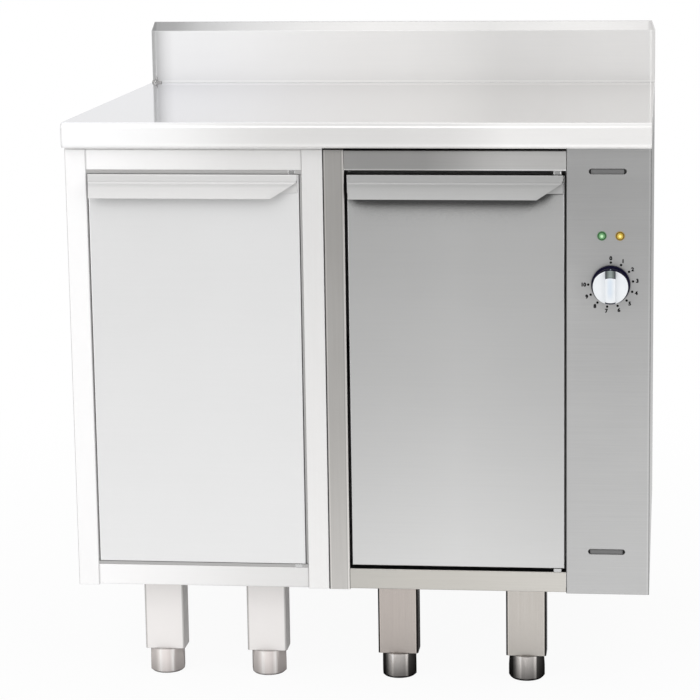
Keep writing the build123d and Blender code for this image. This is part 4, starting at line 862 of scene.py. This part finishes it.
tone_along(grey_door, "X", *DOOR_SPAN, DOOR_LIGHT_ACROSS)
tone_along(grey_door, "Z", *DOOR_HEIGHT, DOOR_LIGHT_RISE)
wear(pale_door, "left_door_skin")
wear(grey_door, "right_door_skin")
wear(liner_steel, "left_door_liner", "right_door_liner")
wear(board, "left_door_core")

GRIP_FOLD_Z, GRIP_LIP, FLANGE_LOW = 0.8067, (-0.0200, 0.7841), 0.7910
GRIP_CUT, GRIP_LEFT_CUT, GRIP_CUT_Z = 0.0396, 0.0040, (0.7833, 0.8076)
GRIP_GRAIN, GRIP_HEIGHT = (7.0, 420.0, 420.0), (0.784, 0.819)
# Painted shade on the grips: a darker band along the fold and a darker lip below it.
PALE_GRIP_SHADE = ((0.0, 0.88), (0.42, 0.90), (0.54, 0.80), (0.66, 0.82), (0.74, 1.0), (1.0, 1.0))
GREY_GRIP_SHADE = ((0.0, 0.95), (0.42, 0.93), (0.54, 0.84), (0.66, 0.86), (0.74, 1.0), (1.0, 0.96))
pale_grip = steel(
    "pale_grip", (0.76, 0.755, 0.75), (0.84, 0.835, 0.83), (0.95, 0.945, 0.94), 0.35, 0.36, GRIP_GRAIN,
    bump=0.02, radius=0.0003, shade=OPEN,
)
grey_grip = steel(
    "grey_grip", (0.49, 0.49, 0.485), (0.56, 0.56, 0.555), (0.70, 0.695, 0.685), 0.50, 0.38, GRIP_GRAIN,
    bump=0.02, radius=0.0003, shade=OPEN, edge_dulling=0.2,
)
close_gaps(grey_grip)
tone_along(pale_grip, "Z", *GRIP_HEIGHT, PALE_GRIP_SHADE)
tone_along(grey_grip, "Z", *GRIP_HEIGHT, GREY_GRIP_SHADE)
for side, grip_material, grip_slot in (("left", pale_grip, "pale_steel"), ("right", grey_grip, "grey_steel")):
    grip_low, grip_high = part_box(f"{side}_door_grip")
    top_z = grip_high.z
    flange = round_corners(
        [(0.0, FLANGE_LOW), (0.0, top_z), (-SHEET, top_z), (-SHEET, FLANGE_LOW)],
        [0.0001, 0.0007, 0.0007, 0.0005],
    )
    reach, rise = -GRIP_LIP[0] - 2 * SHEET, GRIP_FOLD_Z - GRIP_LIP[1]
    slope = math.hypot(rise, reach)
    inner_lip = (GRIP_LIP[0] + SHEET * rise / slope, GRIP_LIP[1] - SHEET * reach / slope)
    inner_fold = (-SHEET, inner_lip[1] + (-SHEET - inner_lip[0]) * rise / reach)
    lip = round_corners(
        [(-SHEET, top_z), (-2 * SHEET, top_z), (-2 * SHEET, GRIP_FOLD_Z), GRIP_LIP, inner_lip, inner_fold],
        [0.0001, 0.0014, 0.0080, 0.0006, 0.0006, 0.0025],
    )
    cut_share = np.maximum((GRIP_CUT_Z[1] - lip[:, 1]) / (GRIP_CUT_Z[1] - GRIP_CUT_Z[0]), 0.0)
    lip_left = grip_low.x + GRIP_LEFT_CUT * cut_share
    lip_right = grip_high.x - GRIP_CUT * cut_share
    flange[:, 0] += FRONT
    lip[:, 0] += FRONT
    flange_grid, flange_caps = along_x(flange, grip_low.x, grip_high.x)
    lip_grid, lip_caps = along_x(lip, lip_left, lip_right)
    grip_mesh = surface_mesh(f"{side}_grip_strip", [flange_grid, lip_grid], [*flange_caps, *lip_caps])
    add_piece(
        f"{side}_grip_strip", grip_mesh, grip_material, f"{side}_door", (f"{side}_door_grip",)
    )

# Door seal. A white-grey silicone bulb seal, extruded in one length and joined at its ends. Its base is
# pressed on round the back of the heated door, and the hollow bulb closes against the frame.

silicone = moulded("silicone", (0.26, 0.26, 0.27), (0.34, 0.34, 0.35), 0.55, scale=120.0)
SEAL_CORNER, SEAL_HALF = 0.012, 0.004


def along_loop(path, section, back):
    """Carries a closed (across, out) section round a closed (x, z) path: the point at each step is the path
    plus across times the path's normal, and back plus out is its y."""
    ahead = np.roll(path, -1, axis=0) - np.roll(path, 1, axis=0)
    ahead /= np.linalg.norm(ahead, axis=1)[:, None]
    ring = np.append(np.arange(len(path)), 0)
    walk, ahead = path[ring], ahead[ring]
    loop = section[np.append(np.arange(len(section)), 0)]
    x = walk[:, None, 0] + ahead[:, None, 1] * loop[None, :, 0]
    z = walk[:, None, 1] - ahead[:, None, 0] * loop[None, :, 0]
    return np.stack([x, np.broadcast_to(back + loop[:, 1], x.shape), z], axis=2)


seal_low, seal_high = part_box("right_door_gasket")
seal_left, seal_right = seal_low.x + SEAL_HALF, seal_high.x - SEAL_HALF
seal_foot, seal_head = seal_low.z + SEAL_HALF, seal_high.z - SEAL_HALF
seal_corners = [
    (seal_left, seal_foot), (seal_left, seal_head), (seal_right, seal_head), (seal_right, seal_foot),
]
seal_path = round_corners(seal_corners, [SEAL_CORNER] * 4, 9)
bulb = np.radians(np.linspace(-140.0, 140.0, 25))
seal_bulb = np.stack([3.4 * np.sin(bulb), 4.5 + 3.5 * np.cos(bulb)], axis=1)
seal_base = [
    (2.9, 1.3), (3.9, 1.0), (4.0, 0.5), (3.8, 0.0), (-3.8, 0.0), (-4.0, 0.5), (-3.9, 1.0), (-2.9, 1.3),
]
seal_section = np.concatenate([seal_bulb, seal_base]) / 1000
seal_mesh = surface_mesh("door_seal", [along_loop(seal_path, seal_section, seal_low.y)])
add_piece("door_seal", seal_mesh, silicone, "right_door", ("right_door_gasket",), sharp=50)

# Worktop. One 1.5 mm stainless sheet folded down to a bullnose at the front and up to the upstand at the
# back, grained from left to right, with a moisture-proof board bonded under it.

WORKTOP_SPAN, UPSTAND_BAND_Z, TOP_Z, FOLD_HEIGHT = (-0.45, 0.45), 0.9925, 0.9003, 0.006
NOSING_EDGE_Z, TOP_BLEND, BAND_BLEND = (0.8985, 0.8996), 0.0004, 0.0003
FLAT_FACES = ((0.0, 0.0), (0.90, 0.0), (0.97, 1.0), (1.0, 1.0))
UPSTAND_FACE = ((0.0, 0.0), (0.004, 1.0), (0.997, 1.0), (1.0, 0.0))
# Painted reflections on the worktop: lighter and darker bands along the nosing with a dark left end, a dark
# band at the upstand's left corner and lighter and darker stretches along it, and the upstand's top band
# darker towards its left; a painted highlight line just above the fold into the upstand. TOP_TONES only makes
# the flat top a little darker and bluer towards the left.
NOSING_REFLECTIONS = (
    (0.0, 0.72), (0.0013, 0.72), (0.0022, 1.02), (0.20, 1.02), (0.28, 0.97), (0.36, 0.93), (0.56, 0.90),
    (0.66, 0.93), (0.72, 1.02), (0.76, 1.09), (1.0, 1.08),
)
UPSTAND_REFLECTIONS = (
    (0.0, 0.54), (0.003, 0.47), (0.008, 0.50), (0.014, 0.60), (0.020, 0.73), (0.030, 0.88), (0.045, 1.00),
    (0.20, 1.05), (0.30, 1.04), (0.5, 1.02), (0.6, 0.97), (0.70, 0.88), (0.8, 0.88), (0.9, 0.91), (1.0, 0.88),
)
BAND_REFLECTIONS = (
    (0.0, 0.30), (0.05, 0.36), (0.10, 0.52), (0.18, 0.65), (0.30, 0.72), (0.45, 0.76), (0.55, 0.745),
    (0.68, 0.70), (0.80, 0.78), (1.0, 0.88),
)
TOP_TONES = ((0.0, (0.90, 0.90, 0.935)), (0.3, (0.92, 0.92, 0.94)), (0.6, 1.0), (1.0, 1.0))
FOLD_HIGHLIGHT = ((0.0, 0.94), (0.10, 0.94), (0.22, 1.12), (0.55, 1.12), (0.75, 1.0), (1.0, 1.0))
worktop_steel = steel(
    "worktop_steel", (0.88, 0.87, 0.86), (0.96, 0.95, 0.94), (0.97, 0.965, 0.96), 0.30, 0.18,
    (6.0, 520.0, 520.0), bump=0.03, radius=0.0012, shade=(0.03, 0.0, 1.0, 0.9),
    left=((0.98, 0.98, 0.985), 0.04, -0.45, -0.05),
)
flat_top = level_ramp(worktop_steel, facing(worktop_steel)["Z"], FLAT_FACES)
above_top = place_ramp(worktop_steel, "Z", TOP_Z, TOP_Z + TOP_BLEND, RISING)
nosing_face = place_ramp(worktop_steel, "Z", *NOSING_EDGE_Z, FALLING)
band_face = place_ramp(
    worktop_steel, "Z", UPSTAND_BAND_Z - BAND_BLEND, UPSTAND_BAND_Z + BAND_BLEND, RISING
)
below_band = place_ramp(worktop_steel, "Z", TOP_Z, UPSTAND_BAND_Z, UPSTAND_FACE)
turn_value(worktop_steel, "Metallic", flat_top, 0.88)
turn_value(worktop_steel, "Roughness", flat_top, 0.09)
turn_value(worktop_steel, "Metallic", below_band, 0.08)
tone_along(worktop_steel, "X", *WORKTOP_SPAN, NOSING_REFLECTIONS, nosing_face)
tone_along(worktop_steel, "X", *WORKTOP_SPAN, UPSTAND_REFLECTIONS, below_band)
tone_along(worktop_steel, "X", *WORKTOP_SPAN, BAND_REFLECTIONS, band_face)
tone_along(worktop_steel, "X", *WORKTOP_SPAN, TOP_TONES, flat_top)
tone_along(worktop_steel, "Z", TOP_Z, TOP_Z + FOLD_HEIGHT, FOLD_HIGHLIGHT, above_top)
wear(worktop_steel, "worktop")
wear(board, "worktop_core")

BEAD_MIDDLE, BEAD_TURN, BEAD_RUN, BEAD_BEND = (-0.4380, 0.3450, 0.9006), 0.0120, 0.006, 0.8
BEAD_WAVE, BEAD_SIZE, TACK_SIZE, WORKTOP_END = 0.0005, 0.0031, 0.0023, -0.4499
weld = np.linspace(0.0, 1.0, 33)
bend = math.pi + (math.pi / 2) * np.minimum(weld / BEAD_BEND, 1.0)
straight = BEAD_RUN * np.maximum(weld - BEAD_BEND, 0.0) / (1 - BEAD_BEND)
bead_path = np.stack(
    [
        BEAD_MIDDLE[0] + BEAD_TURN * np.cos(bend) + straight,
        BEAD_MIDDLE[1] + BEAD_TURN * np.sin(bend),
        BEAD_MIDDLE[2] + BEAD_WAVE * np.sin(23.0 * weld),
    ],
    axis=1,
)
bead_size = BEAD_SIZE * (1 + 0.26 * np.sin(27.0 * weld) + 0.12 * np.sin(53.0 * weld + 1.0))
bead_size *= np.sqrt(np.clip(1.02 - (2 * weld - 1) ** 8, 0.02, 1.0))
tack = np.linspace(0.0, 1.0, 17)
tack_path = np.stack([-0.4440 + 0.004 * tack, 0.3336 + 0.0010 * (1 - tack), 0.9015 + 0.0085 * tack], axis=1)
tack_size = TACK_SIZE * (1 + 0.30 * np.sin(14.0 * tack))
tack_size *= np.sqrt(np.clip(1.0 - (2 * tack - 1) ** 6, 0.02, 1.0))


def bead(path, size, steps=14):
    """A weld bead: circles of the given sizes round the points of a path, square to its direction."""
    ahead = np.gradient(path, axis=0)
    ahead /= np.linalg.norm(ahead, axis=1)[:, None]
    level = np.cross(ahead, np.array([0.31, 0.27, 0.91]))
    level /= np.linalg.norm(level, axis=1)[:, None]
    up = np.cross(level, ahead)
    turn = np.linspace(0.0, 2 * math.pi, steps + 1)
    ring = level[:, None] * np.cos(turn)[None, :, None] + up[:, None] * np.sin(turn)[None, :, None]
    grid = path[:, None] + ring * size[:, None, None]
    grid[..., 0] = np.maximum(grid[..., 0], WORKTOP_END)
    return grid, (grid[0, :-1], grid[-1, :-1])


bead_grid, bead_ends = bead(bead_path, bead_size)
tack_grid, tack_ends = bead(tack_path, tack_size)
weld_steel = steel(
    "weld_steel", (0.42, 0.41, 0.40), (0.86, 0.85, 0.84), (0.97, 0.96, 0.95), 0.9, 0.14,
    (500.0, 500.0, 500.0), bump=0.3,
)
weld_mesh = surface_mesh("upstand_weld", [bead_grid, tack_grid], [*bead_ends, *tack_ends])
add_piece("upstand_weld", weld_mesh, weld_steel, "cabinet", sharp=60)

# Back rivets. Domed stainless blind rivets, each pulled up by a mandrel that snaps off inside its head.
# They hold the two back sheets to the sides and the floor.

RIVET_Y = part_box("hot_back")[1].y
RIVET_LOW, RIVET_HIGH = 0.180, 0.846
SIDE_RIVETS_X, END_RIVETS_X = (-0.436, -0.064, -0.036, 0.436), (-0.343, -0.250, -0.157, 0.082, 0.200, 0.318)
rivet_profile = np.array(
    [
        (0.0, -0.3), (3.5, -0.3), (3.6, 0.1), (3.3, 0.55), (2.6, 0.95), (1.5, 1.2), (1.0, 1.22),
        (0.9, 0.7), (0.0, 0.65),
    ]
) / 1000 + np.array([0.0, RIVET_Y])
rivet_places = [(x, z) for x in SIDE_RIVETS_X for z in np.linspace(RIVET_LOW, RIVET_HIGH, 6)]
rivet_places += [(x, z) for x in END_RIVETS_X for z in (RIVET_LOW, RIVET_HIGH)]
rivet_mesh = surface_mesh("back_rivets", [lathe(rivet_profile, place, 20) for place in rivet_places])
add_piece("back_rivets", rivet_mesh, bright_steel, "cabinet", sharp=40)

# Cable gland. A black nylon compression gland through the back of the electrical compartment, with a
# hexagon, a ribbed dome nut that squeezes a rubber sleeve on the cord, and a lock nut inside.

GLAND = middle_of("cable_gland")
HEXAGON_HALF, RIB_COUNT, RIB_DEPTH = 11.69, 24, 0.035
turn = np.linspace(0.0, 2 * math.pi, 145)
hexagon = HEXAGON_HALF / np.cos(np.mod(turn, math.pi / 3) - math.pi / 6)
ribs = 1 + RIB_DEPTH * np.cos(RIB_COUNT * turn) ** 3
gland_rows = [
    (5.0, -14.0), (9.3, -14.0), (9.9, -13.2), (9.9, -7.0), (12.4, -7.0), (13.0, -6.5), (13.0, -2.6),
    (12.4, -2.0), (9.9, -2.0), (9.9, 0.0), (12.6, 0.0), (12.6, 0.6), (np.minimum(hexagon, 12.7), 0.8),
    (np.minimum(hexagon, 13.4), 1.4), (np.minimum(hexagon, 13.4), 6.6), (np.minimum(hexagon, 12.5), 7.6),
    (11.0, 8.0), (10.2, 8.0), (10.2, 8.6), (10.1 * ribs, 9.2), (10.0 * ribs, 14.2), (9.3, 15.6), (8.2, 16.9),
    (6.9, 17.8), (6.2, 18.0), (5.9, 17.4), (5.0, 16.8), (5.0, -14.0),
]
radius = np.stack([np.broadcast_to(row_radius, turn.shape) for row_radius, row_y in gland_rows]) / 1000
depth = np.array([row_y for row_radius, row_y in gland_rows])[:, None] / 1000
gland_y = np.broadcast_to(RIVET_Y + depth, radius.shape)
gland_grid = np.stack([GLAND[0] + radius * np.sin(turn), gland_y, GLAND[1] + radius * np.cos(turn)], axis=2)
gland_mesh = surface_mesh("gland_body", [gland_grid])
add_piece("gland_body", gland_mesh, black_plastic, "cabinet", ("cable_gland",))

# Studio. A white paper floor in a white surround, a soft lamp above the front, two upright strip lamps at
# the sides and a soft one high at the rear. To the camera the floor is white; in reflections it glows with a
# painted pool of light that fades with distance and a painted shadow.

scene = bpy.context.scene
FLOOR_HALF, FLOOR_Z, PAPER = 14, -0.0003, (0.82, 0.82, 0.82, 1.0)
floor_line = np.linspace(-FLOOR_HALF, FLOOR_HALF, 3)
floor_grid = np.stack([*np.meshgrid(floor_line, floor_line), np.full((3, 3), FLOOR_Z)], axis=2)
floor_mesh = surface_mesh("studio_floor", [floor_grid])
floor = bpy.data.objects.new("studio_floor", floor_mesh)
scene.collection.objects.link(floor)
paper, tree, plain_shader = new_material("studio_paper")
tree.nodes.remove(plain_shader)
ray = add_node(tree, "LightPath").outputs
place = add_node(tree, "TexCoord").outputs["Object"]
away = add_node(tree, "VectorMath", {0: place}, operation="LENGTH").outputs["Value"]
far = add_node(tree, "MapRange", {"Value": away, "From Max": 9.0}).outputs["Result"]
# Painted light: in reflections the floor glows brightest near the cabinet and fades with distance, and its
# ambient occlusion paints the cabinet's shadow into that glow.
light_pool_glow = level_ramp(paper, far, ((0.08, 1.0), (0.18, 0.86), (0.34, 0.64), (0.60, 0.47), (1.0, 0.34)))
light_pool_glow.node.color_ramp.interpolation = "B_SPLINE"
sky = add_node(tree, "AmbientOcclusion", {"Distance": 0.5}, samples=4).outputs["AO"]
shadowed = both_masks(paper, light_pool_glow, sky)
level = add_node(tree, "Mix", {"Factor": ray["Is Camera Ray"], "A": shadowed, "B": 1.0}).outputs["Result"]
glossy, through = ray["Is Glossy Ray"], ray["Is Transmission Ray"]
mirrored = add_node(tree, "Math", {0: glossy, 1: through}, operation="MAXIMUM")
seen = add_node(tree, "Math", {0: mirrored.outputs[0], 1: ray["Is Camera Ray"]}, operation="MAXIMUM")
bare_spread = {"From Min": 0.5, "From Max": 2.0, "To Min": 0.94, "To Max": 1.0}
bare = add_node(tree, "MapRange", {"Value": away, **bare_spread}, interpolation_type="SMOOTHSTEP")
share = both_masks(paper, seen.outputs[0], bare.outputs["Result"])
lit = add_node(tree, "BsdfDiffuse", {"Color": PAPER}).outputs["BSDF"]
glow = add_node(tree, "Emission", {"Strength": level}).outputs["Emission"]
blend = add_node(tree, "MixShader", {"Fac": share, 1: lit, 2: glow})
feed(tree, tree.nodes["Material Output"], {"Surface": blend.outputs["Shader"]})
floor_mesh.materials.append(paper)

world = bpy.data.worlds.new("studio_surround")
scene.world = world
world.use_nodes = True
tree = world.node_tree
ray = add_node(tree, "LightPath").outputs
parts = add_node(tree, "SeparateXYZ", {0: add_node(tree, "TexCoord").outputs["Generated"]}).outputs
bearing = add_node(tree, "MapRange", {"Value": parts["Y"], "From Min": -1.0}).outputs["Result"]
AROUND_LEVELS = ((0.0, 0.42), (0.25, 0.40), (0.42, 0.15), (0.58, 0.15), (0.74, 0.80), (1.0, 0.88))
around = level_ramp(world, bearing, AROUND_LEVELS)
above_spread = {"From Min": 0.25, "From Max": 0.65, "To Max": 0.60}
above = add_node(tree, "MapRange", {"Value": parts["Z"], **above_spread}, interpolation_type="SMOOTHSTEP")
surround = add_node(tree, "Math", {0: around, 1: above.outputs["Result"]}, operation="MAXIMUM").outputs[0]
diffuse = add_node(tree, "Mix", {"Factor": ray["Is Diffuse Ray"], "A": surround, "B": 0.86}).outputs["Result"]
strength = add_node(tree, "Mix", {"Factor": ray["Is Camera Ray"], "A": diffuse, "B": 1.0}).outputs["Result"]
feed(tree, tree.nodes["Background"], {"Color": (1.0, 1.0, 1.0, 1.0), "Strength": strength})


def soft_lamp(name, size, power, place, aim):
    """A rectangular soft box, its face turned from its place towards the aim."""
    lamp = bpy.data.lights.new(name, "AREA")
    lamp.shape = "RECTANGLE"
    lamp.size, lamp.size_y = size
    lamp.energy = power
    holder = bpy.data.objects.new(name, lamp)
    turn = (Vector(aim) - Vector(place)).to_track_quat("-Z", "Y")
    holder.matrix_world = Matrix.Translation(place) @ turn.to_matrix().to_4x4()
    scene.collection.objects.link(holder)
    holder.visible_camera = False


soft_lamp("key_lamp", (3.0, 2.0), 26.0, (-1.2, -3.2, 3.2), (0.0, 0.0, 0.5))
soft_lamp("left_strip", (0.7, 2.2), 16.0, (-3.0, -2.6, 0.9), (0.0, 0.0, 0.6))
soft_lamp("right_strip", (0.7, 2.2), 16.0, (3.2, -2.4, 0.9), (0.0, 0.0, 0.6))
soft_lamp("rear_lamp", (3.0, 1.6), 6.0, (0.0, 2.8, 3.0), (0.0, 0.0, 0.6))

# Camera. A long lens from the front, a little to the right and above the worktop, and shifted a little
# so that the cabinet's uprights lean less.

CAMERA_PLACE, SENSOR_WIDTH, FOCAL_LENGTH = (0.475, -4.028, 1.2932), 36.0, 126.85
YAW, PITCH, ROLL = 0.09586, 0.17503, -0.00917
aside = Vector((math.cos(YAW), math.sin(YAW), 0.0))
ahead = Vector((-math.sin(YAW) * math.cos(PITCH), math.cos(YAW) * math.cos(PITCH), -math.sin(PITCH)))
upward = Vector((-math.sin(YAW) * math.sin(PITCH), math.cos(YAW) * math.sin(PITCH), math.cos(PITCH)))
right = math.cos(ROLL) * aside + math.sin(ROLL) * upward
top = math.cos(ROLL) * upward - math.sin(ROLL) * aside
lens_data = bpy.data.cameras.new("studio_camera")
lens_data.sensor_fit = "HORIZONTAL"
lens_data.sensor_width = SENSOR_WIDTH
lens_data.lens = FOCAL_LENGTH
lens_data.shift_x = -0.12
lens_data.shift_y = -0.08
lens_data.clip_end = 100.0
camera = bpy.data.objects.new("studio_camera", lens_data)
camera.matrix_world = Matrix.Translation(CAMERA_PLACE) @ Matrix((right, top, -ahead)).transposed().to_4x4()
scene.collection.objects.link(camera)
scene.camera = camera
scene.view_settings.view_transform = "Standard"
